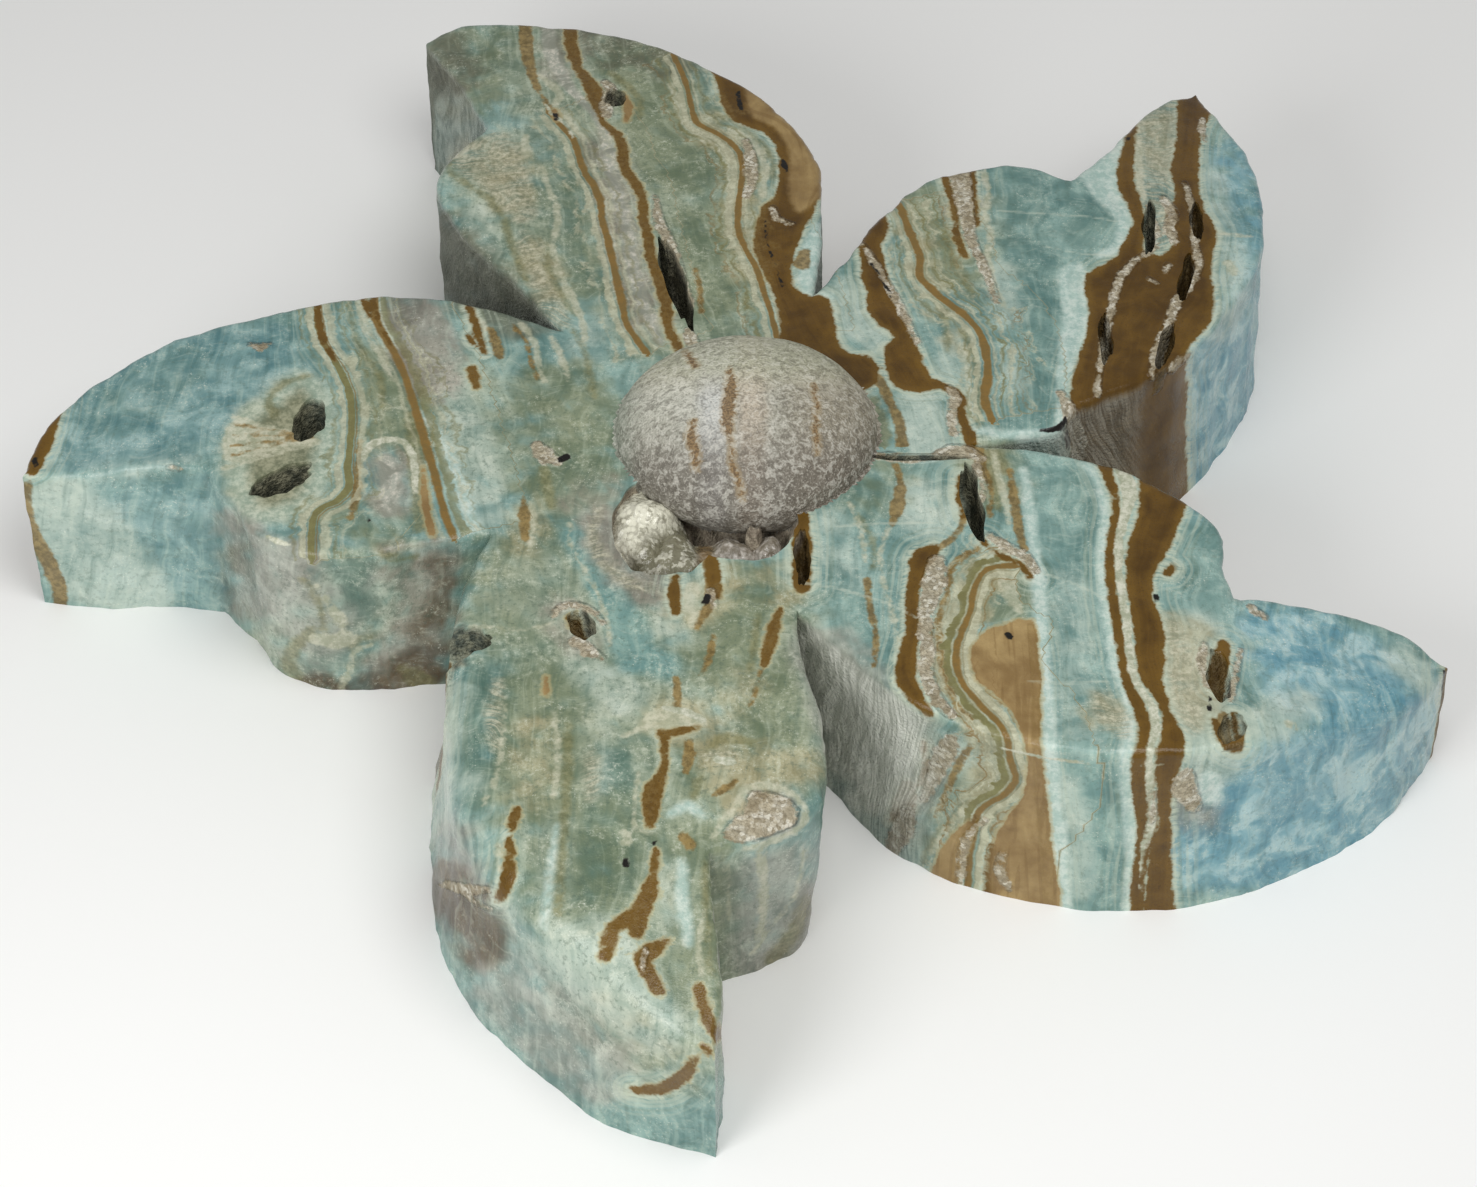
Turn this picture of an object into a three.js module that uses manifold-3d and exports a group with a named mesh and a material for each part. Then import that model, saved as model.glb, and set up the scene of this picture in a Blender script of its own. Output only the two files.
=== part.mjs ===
// Carved stone flower: five pinwheel petals cut from one banded slab, with a raised dome at the
// centre that overhangs a crystal-lined hollow. Millimetres, +Z up. The flat sawn underside lies in
// the plane z = 0, and the origin is the point of it under the middle of the flower.
import * as THREE from 'three';
import { mergeVertices } from 'three/addons/utils/BufferGeometryUtils.js';
import Module from 'manifold-3d';

const wasm = await Module();
wasm.setup();

// ---- driving dimensions ----
const SLAB_THICKNESS = 24;     // at the middle; the tops sink a little towards the petal tips
const OUTLINE_STEP = 3;        // spacing of the points along the carved outline
const EDGE_ROUND = 0.9;        // radius of the polished edges
const WALL_BULGE = 0.35;       // share of a wall's flare that is left at half height
const LID_CELL = 4.2;          // cell of the mesh that shapes the top surface
const SEAT_GAP = 0.3;          // clearance between the crust and the stone round it
const HEADROOM = 3;            // how far blanks reach past the surfaces that trim them
const SINK_POWER = 1.5;        // how sharply a top sinks towards its tip
const TIP_SHARPENS = 0.8;      // share of a soft edge's extra radius that is lost at the tip
const RUN_IN = 0.2;            // share of a side over which its flare grows, and fades at the tip
const SOFTENING = 0.35;        // share of a side over which its edge softens
const BLANK_SIZE = 172;        // side of the square block that the tops are cut from

const DOME = { centre: [1, 1.2, 23.6], radii: [14.8, 14, 7.5] };
const STEM = { centre: [1.8, -13.2, 18.5], radii: [1.1, 1.3, 5] };

// The hollow is two bowls that meet under the front of the dome.
const HOLLOW = [
  { centre: [-9, -12.6, 24], radii: [7.4, 9.6, 10] },
  { centre: [0.2, -13.4, 24], radii: [6.4, 5.6, 7.5] },
];

// Botryoidal lumps of the crust, and the floor up to which it fills the bowls.
const CRUST_FLOOR = 17.5;
const CRUST_LUMPS = [
  { centre: [-10.2, -11.4, 17.4], radii: [5.6, 7, 5.8] },
  { centre: [-6.6, -16.8, 17.2], radii: [4.8, 4.8, 4.8] },
  { centre: [-0.8, -15.4, 17], radii: [3, 3.2, 3.6] },
  { centre: [3.2, -14.4, 17], radii: [2.4, 3, 3] },
];
const CRYSTAL = { count: 34, radius: 0.8, length: 1.1, sides: 6 };

// Petals in counter-clockwise order from the right. Each starts at the junction with the petal
// before it, runs along its long convex side to the tip, back along the straight step to the notch,
// and round the short lobe to the next junction. `sink` is how far the top drops at the tip and
// over what length. `flare` and `lobeFlare` are how far the foot of the convex side and of the lobe
// stand out. `soft` is the radius that the convex side's top edge grows to, from `softFrom` along it,
// and `lobeRound` is that of the lobe.
const PETALS = [
  {
    name: 'right back',
    start: [26.5, -0.8],
    side: [
      [32, 0.6], [36.4, 2], [38.6, 5], [43.5, 8], [49, 11.4], [53, 15.4], [58, 23],
      [61.8, 31], [63, 41], [61.8, 51], [59.4, 58],
    ],
    tip: [57, 64],
    step: [[52, 61], [46, 52]],
    notch: [40, 44.5],
    lobe: [[35, 47.2], [28, 46.4], [22, 43.6], [16.6, 37.2], [12.8, 30.5]],
    sink: 3, sinkReach: 30, flare: 1, lobeFlare: 0,
    soft: EDGE_ROUND, softFrom: 1, lobeRound: EDGE_ROUND,
  },
  {
    name: 'left back',
    start: [8.8, 24],
    side: [
      [9.6, 29], [10, 40], [9.4, 48.5], [4, 58.5],
      [-4.7, 66.3], [-15.5, 72.4], [-27, 75.6], [-36, 76.2],
    ],
    tip: [-39.4, 73.8],
    step: [[-37, 69.5], [-33.4, 61.5]],
    notch: [-30.7, 54.6],
    lobe: [[-34.2, 50], [-36.4, 44], [-34.2, 37.5], [-29.6, 30.6], [-24.8, 24.8]],
    sink: 3, sinkReach: 30, flare: 0.4, lobeFlare: 0,
    soft: EDGE_ROUND, softFrom: 1, lobeRound: EDGE_ROUND,
  },
  {
    name: 'left',
    start: [-20.4, 17.8],
    side: [
      [-27, 21.2], [-35, 23.5], [-45, 23.5], [-57, 20],
      [-66.5, 15.8], [-74.5, 9.8], [-79.2, 3.6],
    ],
    tip: [-81, -3],
    step: [[-74, -4], [-65, -3.8]],
    notch: [-59.8, -4.6],
    lobe: [[-56.6, -9], [-52.8, -15], [-48, -17.6], [-42, -18], [-35, -16.6]],
    sink: 3, sinkReach: 30, flare: 0.4, lobeFlare: -1.3,
    soft: EDGE_ROUND, softFrom: 1, lobeRound: EDGE_ROUND,
  },
  {
    name: 'front',
    start: [-27.4, -14.8],
    side: [
      [-30.2, -23], [-31.4, -32], [-31, -44], [-29.4, -54],
      [-25, -62.6], [-18.2, -69.8], [-9.5, -77.6],
    ],
    tip: [-2.2, -81.4],
    step: [[-1.6, -74], [-2.3, -66.5]],
    notch: [-3, -59],
    lobe: [[3.2, -57.2], [8, -54.2], [9.3, -47], [8.6, -40], [7.2, -33.5]],
    sink: 6, sinkReach: 34, flare: 2.6, lobeFlare: -1.6,
    soft: 4.5, softFrom: 0, lobeRound: 1.8,
  },
  {
    name: 'right front',
    start: [6.5, -26.5],
    side: [
      [12, -32.6], [18.4, -39.3], [25, -43.4], [33, -46.1],
      [42, -47.2], [51, -46], [61, -41.8], [71.5, -34.6],
    ],
    tip: [78.4, -26.6],
    step: [[73, -23.4], [62, -22.6]],
    notch: [54.4, -22.8],
    lobe: [[53.4, -18.6], [53.4, -13.6], [49.2, -9.4], [43.5, -4.7], [36, -2.1]],
    sink: 9, sinkReach: 34, flare: 1.8, lobeFlare: 0,
    soft: 5, softFrom: 0.55, lobeRound: EDGE_ROUND,
  },
];

// Open slots and pits in the top, where bands never closed up. `turn` is in degrees from +Y.
const PITS = [
  { name: 'slot behind the dome', at: [-7.4, 26.2], width: 2.6, length: 15, turn: 14, depth: 9 },
  { name: 'vug in the back petal', at: [-15.2, 59.6], width: 3, length: 3.4, turn: 0, depth: 3 },
  { name: 'upper fan hole', at: [-48.6, 3], width: 3.6, length: 7, turn: -8, depth: 8 },
  { name: 'lower fan hole', at: [-50.8, -6.5], width: 3.6, length: 7.6, turn: -60, depth: 7 },
  { name: 'seam slot', at: [48.9, 36], width: 1.7, length: 9.6, turn: -5, depth: 5 },
  { name: 'chain slot, back', at: [54.6, 37], width: 1.6, length: 7, turn: -1, depth: 5 },
  { name: 'chain slot, middle', at: [52.5, 26.6], width: 1.6, length: 8.6, turn: -12, depth: 5 },
  { name: 'chain slot, front', at: [49.4, 15.2], width: 1.8, length: 7.6, turn: -16, depth: 5 },
  { name: 'brown band slot', at: [42.5, 16.4], width: 1.6, length: 8, turn: 0, depth: 4 },
  { name: 'slot beside the junction', at: [26.1, -10], width: 2.3, length: 12.6, turn: 6, depth: 7 },
  { name: 'groove from the junction', at: [20.2, -2.9], width: 1.2, length: 12, turn: 90, depth: 1.2 },
  { name: 'brown vug, back', at: [51.4, -35.4], width: 2.6, length: 8, turn: 3, depth: 2 },
  { name: 'brown vug, front', at: [52.2, -43], width: 2.8, length: 4.6, turn: -20, depth: 2 },
  { name: 'nick in the front petal', at: [-31, -31.4], width: 4.4, length: 9.6, turn: -78, depth: 6 },
  { name: 'vug in the front petal', at: [-17, -28.4], width: 3, length: 4.2, turn: 20, depth: 2.6 },
  { name: 'slot beside the hollow', at: [7.1, -18.4], width: 1.9, length: 8.6, turn: 0, depth: 4 },
];

// ---- helpers ----
function solidFrom(geometry) {
  const bare = geometry.clone();
  bare.deleteAttribute('normal');
  bare.deleteAttribute('uv');
  const merged = mergeVertices(bare, 1e-4);
  return new wasm.Manifold(new wasm.Mesh({
    numProp: 3,
    vertProperties: new Float32Array(merged.attributes.position.array),
    triVerts: new Uint32Array(merged.index.array),
  }));
}

function geometryFrom(solid) {
  const mesh = solid.getMesh();
  const geometry = new THREE.BufferGeometry();
  geometry.setAttribute('position', new THREE.BufferAttribute(new Float32Array(mesh.vertProperties), 3));
  geometry.setIndex(new THREE.BufferAttribute(new Uint32Array(mesh.triVerts), 1));
  geometry.computeVertexNormals();
  return geometry;
}

function ellipsoid({ centre, radii }, grow = 0, base = new THREE.IcosahedronGeometry(1, 3)) {
  const geometry = base.clone();
  geometry.scale(radii[0] + grow, radii[1] + grow, radii[2] + grow);
  geometry.translate(...centre);
  return solidFrom(geometry);
}

// Repeatable numbers from 0 to 1, for the natural scatter of the crystals.
function seededNumbers(seed) {
  let state = seed;
  return () => {
    state = (state * 16807) % 2147483647;
    return state / 2147483647;
  };
}

function topHeight(x, y) {
  let height = SLAB_THICKNESS;
  for (const petal of PETALS) {
    const away = Math.hypot(x - petal.tip[0], y - petal.tip[1]);
    height -= petal.sink * Math.max(0, 1 - away / petal.sinkReach) ** SINK_POWER;
  }
  return height;
}

// ---- the carved outline ----
// Points of one smooth run, without its last one, each with its edge radius and its foot's flare.
function runPoints(corners, edgeAt, flareAt) {
  const knots = corners.map(([x, y]) => new THREE.Vector3(x, y, 0));
  const curve = new THREE.CatmullRomCurve3(knots, false, 'centripetal');
  const count = Math.max(2, Math.round(curve.getLength() / OUTLINE_STEP));
  return curve.getSpacedPoints(count).slice(0, -1).map((point, index) => {
    const along = index / count;
    return { x: point.x, y: point.y, edge: edgeAt(along), flare: flareAt(along) };
  });
}

function carvedOutline() {
  const { smoothstep, lerp } = THREE.MathUtils;
  return PETALS.flatMap((petal, index) => {
    const next = PETALS[(index + 1) % PETALS.length];
    const softening = (along) => smoothstep(along, petal.softFrom, petal.softFrom + SOFTENING);
    const nearTip = (along) => smoothstep(along, 1 - RUN_IN, 1);
    const soft = (along) => softening(along) * (1 - TIP_SHARPENS * nearTip(along));
    const sideEdge = (along) => lerp(EDGE_ROUND, petal.soft, soft(along));
    const sideFlare = (along) => petal.flare * smoothstep(along, 0, RUN_IN) * (1 - nearTip(along));
    const lobeFlare = (along) => petal.lobeFlare * Math.sin(Math.PI * along);
    const lobeEdge = (along) => lerp(EDGE_ROUND, petal.lobeRound, Math.sin(Math.PI * along));
    return [
      ...runPoints([petal.start, ...petal.side, petal.tip], sideEdge, sideFlare),
      ...runPoints([petal.tip, ...petal.step, petal.notch], () => EDGE_ROUND, () => 0),
      ...runPoints([petal.notch, ...petal.lobe, next.start], lobeEdge, lobeFlare),
    ];
  });
}

function withNormals(outline) {
  const count = outline.length;
  return outline.map((point, index) => {
    const before = outline[(index + count - 1) % count];
    const after = outline[(index + 1) % count];
    const normal = new THREE.Vector2(after.y - before.y, before.x - after.x).normalize();
    return { ...point, normal, top: topHeight(point.x, point.y) };
  });
}

// One ring of the walls: each outline point moved out by `out` and set at height `z`.
function ring(outline, out, z) {
  return outline.map((point) => [
    point.x + point.normal.x * out(point),
    point.y + point.normal.y * out(point),
    z(point),
  ]);
}

// The slab as sawn round its outline, rounded at the top edge and open to any height above it.
function sawnSlab() {
  const outline = withNormals(carvedOutline());
  const quarter = 1 - Math.SQRT1_2;
  const rings = [
    ring(outline, (p) => p.flare, () => 0),
    ring(outline, (p) => p.flare * WALL_BULGE, (p) => p.top / 2),
    ring(outline, () => 0, (p) => p.top - p.edge),
    ring(outline, (p) => -p.edge * quarter, (p) => p.top - p.edge * quarter),
    ring(outline, (p) => -p.edge, (p) => p.top),
    ring(outline, (p) => -p.edge, () => SLAB_THICKNESS + HEADROOM),
  ];
  const count = outline.length;
  const index = [];
  for (let level = 0; level + 1 < rings.length; level += 1) {
    for (let i = 0; i < count; i += 1) {
      const low = level * count + i;
      const lowNext = level * count + (i + 1) % count;
      index.push(low, lowNext, lowNext + count, low, lowNext + count, low + count);
    }
  }
  const flatten = (points) => points.map(([x, y]) => new THREE.Vector2(x, y));
  const capOf = (points) => THREE.ShapeUtils.triangulateShape(flatten(points), []);
  const lastRing = (rings.length - 1) * count;
  capOf(rings[0]).forEach(([a, b, c]) => index.push(a, c, b));
  capOf(rings.at(-1)).forEach(([a, b, c]) => index.push(lastRing + a, lastRing + b, lastRing + c));
  const geometry = new THREE.BufferGeometry();
  geometry.setAttribute('position', new THREE.Float32BufferAttribute(rings.flat(2), 3));
  geometry.setIndex(index);
  return solidFrom(geometry);
}

// A block whose upper face is the flower's top surface.
function topBlock() {
  const cells = Math.round(BLANK_SIZE / LID_CELL);
  const geometry = new THREE.BoxGeometry(BLANK_SIZE, BLANK_SIZE, 1, cells, cells, 1);
  const position = geometry.attributes.position;
  for (let i = 0; i < position.count; i += 1) {
    const isTop = position.getZ(i) > 0;
    position.setZ(i, isTop ? topHeight(position.getX(i), position.getY(i)) : -HEADROOM);
  }
  return solidFrom(geometry);
}

function pitCutter({ at, width, length, turn, depth }) {
  const geometry = new THREE.IcosahedronGeometry(1, 1);
  geometry.scale(width / 2, length / 2, depth);
  geometry.rotateZ(THREE.MathUtils.degToRad(turn));
  geometry.translate(at[0], at[1], topHeight(...at));
  return solidFrom(geometry);
}

function hollow(grow = 0) {
  return HOLLOW.map((bowl) => ellipsoid(bowl, grow)).reduce((all, bowl) => all.add(bowl));
}

function carvedFlower() {
  const petals = sawnSlab().intersect(topBlock());
  const domed = petals.subtract(hollow()).add(ellipsoid(DOME)).add(ellipsoid(STEM));
  return PITS.map(pitCutter).reduce((stone, pit) => stone.subtract(pit), domed);
}

// ---- the crust of crystals in the hollow ----
function crystalOn(lump, random) {
  const heading = new THREE.Vector3(random() * 2 - 1, random() * 2 - 1, 0.35 + random()).normalize();
  const size = 0.7 + 0.6 * random();
  const spike = new THREE.ConeGeometry(CRYSTAL.radius * size, CRYSTAL.length * size * 2, CRYSTAL.sides);
  spike.applyQuaternion(new THREE.Quaternion().setFromUnitVectors(new THREE.Vector3(0, 1, 0), heading));
  const foot = lump.centre.map((middle, axis) => middle + lump.radii[axis] * heading.getComponent(axis));
  spike.translate(...foot);
  return solidFrom(spike);
}

function crust() {
  const random = seededNumbers(71);
  const floorBlock = new THREE.BoxGeometry(BLANK_SIZE, BLANK_SIZE, CRUST_FLOOR);
  floorBlock.translate(0, 0, CRUST_FLOOR / 2);
  const lumps = CRUST_LUMPS.map((lump) => ellipsoid(lump, 0, new THREE.IcosahedronGeometry(1, 2)));
  const crystals = Array.from({ length: CRYSTAL.count }, (_, index) => (
    crystalOn(CRUST_LUMPS[index % CRUST_LUMPS.length], random)));
  const grown = [...lumps, ...crystals].reduce((all, piece) => all.add(piece), solidFrom(floorBlock));
  return grown
    .intersect(hollow(-SEAT_GAP))
    .subtract(ellipsoid(DOME, SEAT_GAP))
    .subtract(ellipsoid(STEM, SEAT_GAP));
}

// ---- the scene ----
function meshOf(name, solid, material) {
  const mesh = new THREE.Mesh(geometryFrom(solid), new THREE.MeshStandardMaterial(material));
  mesh.name = name;
  return mesh;
}

const stoneFlower = new THREE.Group();
stoneFlower.add(
  meshOf('flower', carvedFlower(), { color: 0x7f9e95, roughness: 0.35, metalness: 0 }),
  meshOf('crystal_crust', crust(), { color: 0xc9cbbb, roughness: 0.25, metalness: 0 }),
);

export default stoneFlower;
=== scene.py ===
"""Looks of the carved banded stone flower: a dense carved slab with its bands laid out in plan,
the ground dome, the open slots and vugs, and the crust of crystals under the dome.
Shapes are worked out in millimetres and turned into metres when a mesh is made."""

import math

import bmesh
import bpy
import numpy as np
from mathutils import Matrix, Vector
from mathutils.geometry import delaunay_2d_cdt
from mathutils.kdtree import KDTree


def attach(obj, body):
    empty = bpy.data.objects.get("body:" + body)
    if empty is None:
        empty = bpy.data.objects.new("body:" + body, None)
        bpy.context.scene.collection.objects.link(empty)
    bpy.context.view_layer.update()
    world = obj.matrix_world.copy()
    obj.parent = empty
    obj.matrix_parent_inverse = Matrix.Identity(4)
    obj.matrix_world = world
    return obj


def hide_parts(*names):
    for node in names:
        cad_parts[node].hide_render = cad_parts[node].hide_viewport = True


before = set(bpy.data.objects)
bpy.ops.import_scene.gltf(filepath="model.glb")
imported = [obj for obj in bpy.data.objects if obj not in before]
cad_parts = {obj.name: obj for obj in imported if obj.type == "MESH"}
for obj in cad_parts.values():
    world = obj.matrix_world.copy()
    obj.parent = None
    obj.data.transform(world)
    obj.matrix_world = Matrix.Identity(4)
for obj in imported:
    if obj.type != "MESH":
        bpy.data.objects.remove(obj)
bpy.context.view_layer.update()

MM = 0.001

# ---- dimensions shared with the solid part ----
SLAB_THICKNESS = 24
EDGE_ROUND = 0.9
SINK_POWER = 1.5
DOME_CENTRE = np.array([1, 1.2, 23.6])
DOME_RADII = np.array([14.8, 14, 7.5])
STEM_CENTRE = np.array([1.8, -13.2, 18.5])
STEM_RADII = np.array([1.1, 1.3, 5])

# The two bowls of the hollow and the lumps of the crust in it, as (centre, radii). The first bowl
# is tighter than the solid part's, because in the photo the largest lump fills it to the rim.
HOLLOW = [((-8.2, -13.8, 24), (5.8, 7.8, 9.6)), ((0.2, -13.4, 24), (6.4, 5.6, 7.5))]
CRUST_LUMPS = [
    ((-10.8, -11.6, 17.6), (5.2, 7.2, 6)),
    ((-6.6, -16.8, 17.2), (4.8, 4.8, 4.8)),
    ((-0.8, -15.4, 17.8), (3, 3.2, 3.8)),
    ((3.4, -14.8, 17.6), (2.2, 3, 3.4)),
]

# Petals, counter-clockwise from the right. Each starts at the junction with the petal before it,
# runs along its convex side to the tip, back along the step to the notch, and round its lobe.
# "sink" is how far the top drops at the tip, over "reach". "flare" and "lobe_flare" are how far the
# foot of a wall stands out. "soft" and "lobe_round" are radii that the top edge grows to. "matte"
# names the stretches of wall left as ground, as (run, from, to) in shares of that run.
PETALS = {
    "B": dict(
        start=(26.5, -0.8),
        side=[(32, 0.6), (36.4, 2), (38.6, 5), (43.5, 8), (49, 11.4), (53, 15.4), (58, 23),
              (61.8, 31), (63, 41), (61.8, 51), (59.4, 58)],
        tip=(57, 64), step=[(52, 61), (46, 52)], notch=(40, 44.5),
        lobe=[(35, 47.2), (28, 46.4), (22, 43.6), (16.6, 37.2), (12.8, 30.5)],
        sink=3, reach=30, flare=1, lobe_flare=0, soft=0.9, soft_from=1, lobe_round=0.9,
        matte=[("side", 0, 0.27), ("step", 0, 1), ("lobe", 0, 1)],
    ),
    "A": dict(
        start=(8.8, 24),
        side=[(9.6, 29), (10, 40), (9.4, 48.5), (4, 58.5), (-4.7, 66.3), (-15.5, 72.4),
              (-27, 75.6), (-36, 76.2)],
        tip=(-39.4, 73.8), step=[(-37, 69.5), (-33.4, 61.5)], notch=(-30.7, 54.6),
        lobe=[(-34.2, 50), (-36.4, 44), (-34.2, 37.5), (-29.6, 30.6), (-24.8, 24.8)],
        sink=3, reach=30, flare=0.4, lobe_flare=0, soft=0.9, soft_from=1, lobe_round=0.9,
        matte=[("side", 0, 1), ("step", 0, 1), ("lobe", 0, 1)],
    ),
    "E": dict(
        start=(-20.4, 17.8),
        side=[(-27, 21.2), (-35, 23.5), (-45, 23.5), (-57, 20), (-66.5, 15.8), (-74.5, 9.8),
              (-79.2, 3.6)],
        tip=(-81, -3), step=[(-74, -4), (-65, -3.8)], notch=(-59.8, -4.6),
        lobe=[(-56.6, -9), (-52.8, -15), (-48, -17.6), (-42, -18), (-35, -16.6)],
        sink=3, reach=30, flare=0.4, lobe_flare=-1.3, soft=0.9, soft_from=1, lobe_round=0.9,
        matte=[("side", 0, 0.5)],
    ),
    "D": dict(
        start=(-27.4, -14.8),
        side=[(-30.2, -23), (-31.4, -32), (-31, -44), (-29.4, -54), (-25, -62.6),
              (-18.2, -69.8), (-9.5, -77.6)],
        tip=(-2.2, -81.4), step=[(-1.6, -74), (-2.3, -66.5)], notch=(-3, -59),
        lobe=[(3.2, -57.2), (8, -54.2), (9.3, -47), (8.6, -40), (7.2, -33.5)],
        sink=6, reach=34, flare=2.6, lobe_flare=-1.6, soft=4.5, soft_from=0, lobe_round=1.8,
        matte=[("step", 0.5, 1), ("lobe", 0.5, 1)],
    ),
    "C": dict(
        start=(6.5, -26.5),
        side=[(12, -32.6), (18.4, -39.3), (25, -43.4), (33, -46.1), (42, -47.2), (51, -46),
              (61, -41.8), (71.5, -34.6)],
        tip=(78.4, -26.6), step=[(73, -23.4), (62, -22.6)], notch=(54.4, -22.8),
        lobe=[(53.4, -18.6), (53.4, -13.6), (49.2, -9.4), (43.5, -4.7), (36, -2.1)],
        sink=9, reach=34, flare=1.8, lobe_flare=0, soft=5, soft_from=0.55, lobe_round=0.9,
        matte=[("side", 0, 0.24), ("step", 0, 1), ("lobe", 0, 1)],
    ),
}

# Open slots and vugs in the top: middle, width, length, turn in degrees from +Y, depth.
PITS = [
    ((-7.4, 26.2), 2.6, 15, 14, 9), ((-15.2, 59.6), 3, 3.4, 0, 3), ((-48.6, 3), 3.6, 7, -8, 8),
    ((-50.8, -6.5), 3.6, 7.6, -60, 7), ((48.9, 36), 1.7, 9.6, -5, 5), ((54.6, 37), 1.6, 7, -1, 5),
    ((52.5, 26.6), 1.6, 8.6, -12, 5), ((49.4, 15.2), 1.8, 7.6, -16, 5), ((42.5, 16.4), 1.6, 8, 0, 4),
    ((26.1, -10), 2.3, 12.6, 6, 7), ((20.2, -2.9), 1.2, 12, 90, 1.2), ((51.4, -35.4), 2.6, 8, 3, 2),
    ((52.2, -43), 2.8, 4.6, -20, 2), ((-31, -31.4), 4.4, 9.6, -78, 6), ((-17, -28.4), 3, 4.2, 20, 2.6),
    ((7.1, -18.4), 1.9, 8.6, 0, 4),
]

# ---- finish of the carving, and density of its mesh ----
TIP_FADE = (0.8, 1)         # the last stretch of a side, where its flare and softening fade
SOFT_RUN = 0.35             # share of a side over which its edge softens
SOFT_LOSS = 0.8             # how much of the softening fades at the tip
FLARE_RUN = 0.2             # share of a side over which its flare grows
FLARE_CURVE = 1.5           # how quickly a flare fades up the wall
MATTE_BLEND = 0.03          # half the change from polished to ground, as a share of a run
CORNER_GUARD = 0.45         # how quickly an edge may round away from a corner of the outline
CORNER_ROUND = 0.6          # share of the edge's radius that a corner keeps
NORMAL_BLUR = 2.4           # length over which the outline's normals are evened out
OUTLINE_INSET = 0.05
OUTLINE_WOBBLE = [(0.1, 4.5, 5), (0.05, 1.9, 6)]    # height, wavelength and seed of each layer
WALL_WOBBLE = [(0.05, 2.6, 11), (0.1, 9, 12)]
TOP_WOBBLE = [(0.035, 7, 21), (0.02, 2.2, 22)]
DOME_WOBBLE = [(0.05, 0.9, 31), (0.035, 0.32, 32), (0.02, 0.14, 33)]
STEM_WOBBLE = [(0.08, 0.9, 34)]
BOWL_WOBBLE = [(0.03, 0.9, 0), (0.02, 0.35, 1)]     # bowls and pits count their seeds from here
BOWL_SEED = 41
PIT_WOBBLE = [(0.1, 1.4, 0), (0.07, 0.6, 1)]
PIT_SEED = 51
PIT_BEND = 0.05             # how far a pit sways, as a share of its width
PIT_BEND_PITCH = 1.1        # how often it sways, in radians for a millimetre
RING_STEP = 0.75
WALL_STEP = 0.95
TOP_STEP = 0.53
UNDER_STEP = 6
EDGE_RINGS = 6
JITTER = 0.13               # how far points of the top may stray, in steps
RIM_GAP = 0.62              # how far they stay from the rim, in steps
JITTER_SEED = 3
SHARP_ANGLE = 50            # degrees between faces from which their edge is shaded sharp


# ---- small maths ----
def smooth(low, high, value):
    t = np.clip((value - low) / (high - low), 0, 1)
    return t * t * (3 - 2 * t)


def ripple(points, wavelength, seed, waves=9):
    """Smooth seeded noise, about -1 to 1, as a sum of waves in random directions."""
    rng = np.random.default_rng(seed)
    total = np.zeros(len(points))
    for _ in range(waves):
        heading = rng.normal(size=points.shape[1])
        heading /= np.linalg.norm(heading)
        pitch = 2 * math.pi / (wavelength * rng.uniform(0.6, 1.6))
        total += np.sin(points @ heading * pitch + rng.uniform(0, 2 * math.pi))
    return total / math.sqrt(waves)


def ripples(points, layers, seed=0):
    """The sum of layers of noise, given as (height, wavelength, seed)."""
    return sum(height * ripple(points, wavelength, seed + own) for height, wavelength, own in layers)


def curve_through(points, step, closed=False):
    """Points every step or so on a centripetal Catmull-Rom curve through rows of numbers."""
    rows = np.array(points, float)
    if closed:
        rows = np.vstack([rows[-1], rows, rows[0], rows[1]])
    else:
        rows = np.vstack([2 * rows[0] - rows[1], rows, 2 * rows[-1] - rows[-2]])
    found = []
    for a, b, c, d in zip(rows, rows[1:], rows[2:], rows[3:]):
        gaps = [max(np.linalg.norm((q - p)[:2]), 1e-4) ** 0.5 for p, q in ((a, b), (b, c), (c, d))]
        t0, t1, t2, t3 = 0, gaps[0], gaps[0] + gaps[1], sum(gaps)
        count = max(1, round(np.linalg.norm((c - b)[:2]) / step))
        t = (t1 + (t2 - t1) * np.arange(count) / count)[:, None]
        ab = a * (t1 - t) / (t1 - t0) + b * (t - t0) / (t1 - t0)
        bc = b * (t2 - t) / (t2 - t1) + c * (t - t1) / (t2 - t1)
        cd = c * (t3 - t) / (t3 - t2) + d * (t - t2) / (t3 - t2)
        abc = ab * (t2 - t) / (t2 - t0) + bc * (t - t0) / (t2 - t0)
        bcd = bc * (t3 - t) / (t3 - t1) + cd * (t - t1) / (t3 - t1)
        found.append(abc * (t2 - t) / (t2 - t1) + bcd * (t - t1) / (t2 - t1))
    if not closed:
        found.append(rows[-2:-1])
    return np.vstack(found)


def top_height(x, y):
    height = np.full(np.shape(x), float(SLAB_THICKNESS))
    for petal in PETALS.values():
        away = np.hypot(x - petal["tip"][0], y - petal["tip"][1])
        height -= petal["sink"] * np.clip(1 - away / petal["reach"], 0, None) ** SINK_POWER
    return height


def nearest_tree(points):
    tree = KDTree(len(points))
    for index, point in enumerate(points):
        tree.insert(point, index)
    tree.balance()
    return tree


# ---- the carved outline ----
def matte_share(stretches, run, along):
    """1 where a run's wall is left as ground, 0 where it is polished."""
    matte = np.zeros(len(along))
    for where, low, high in stretches:
        if where != run:
            continue
        begins = smooth(low - MATTE_BLEND, low + MATTE_BLEND, along)
        ends = smooth(high - MATTE_BLEND, high + MATTE_BLEND, along)
        matte = np.maximum(matte, begins * (1 - ends))
        if low <= 0:
            matte = np.where(along < high - MATTE_BLEND, 1, matte)
        if high >= 1:
            matte = np.where(along > low + MATTE_BLEND, 1, matte)
    return matte


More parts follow.
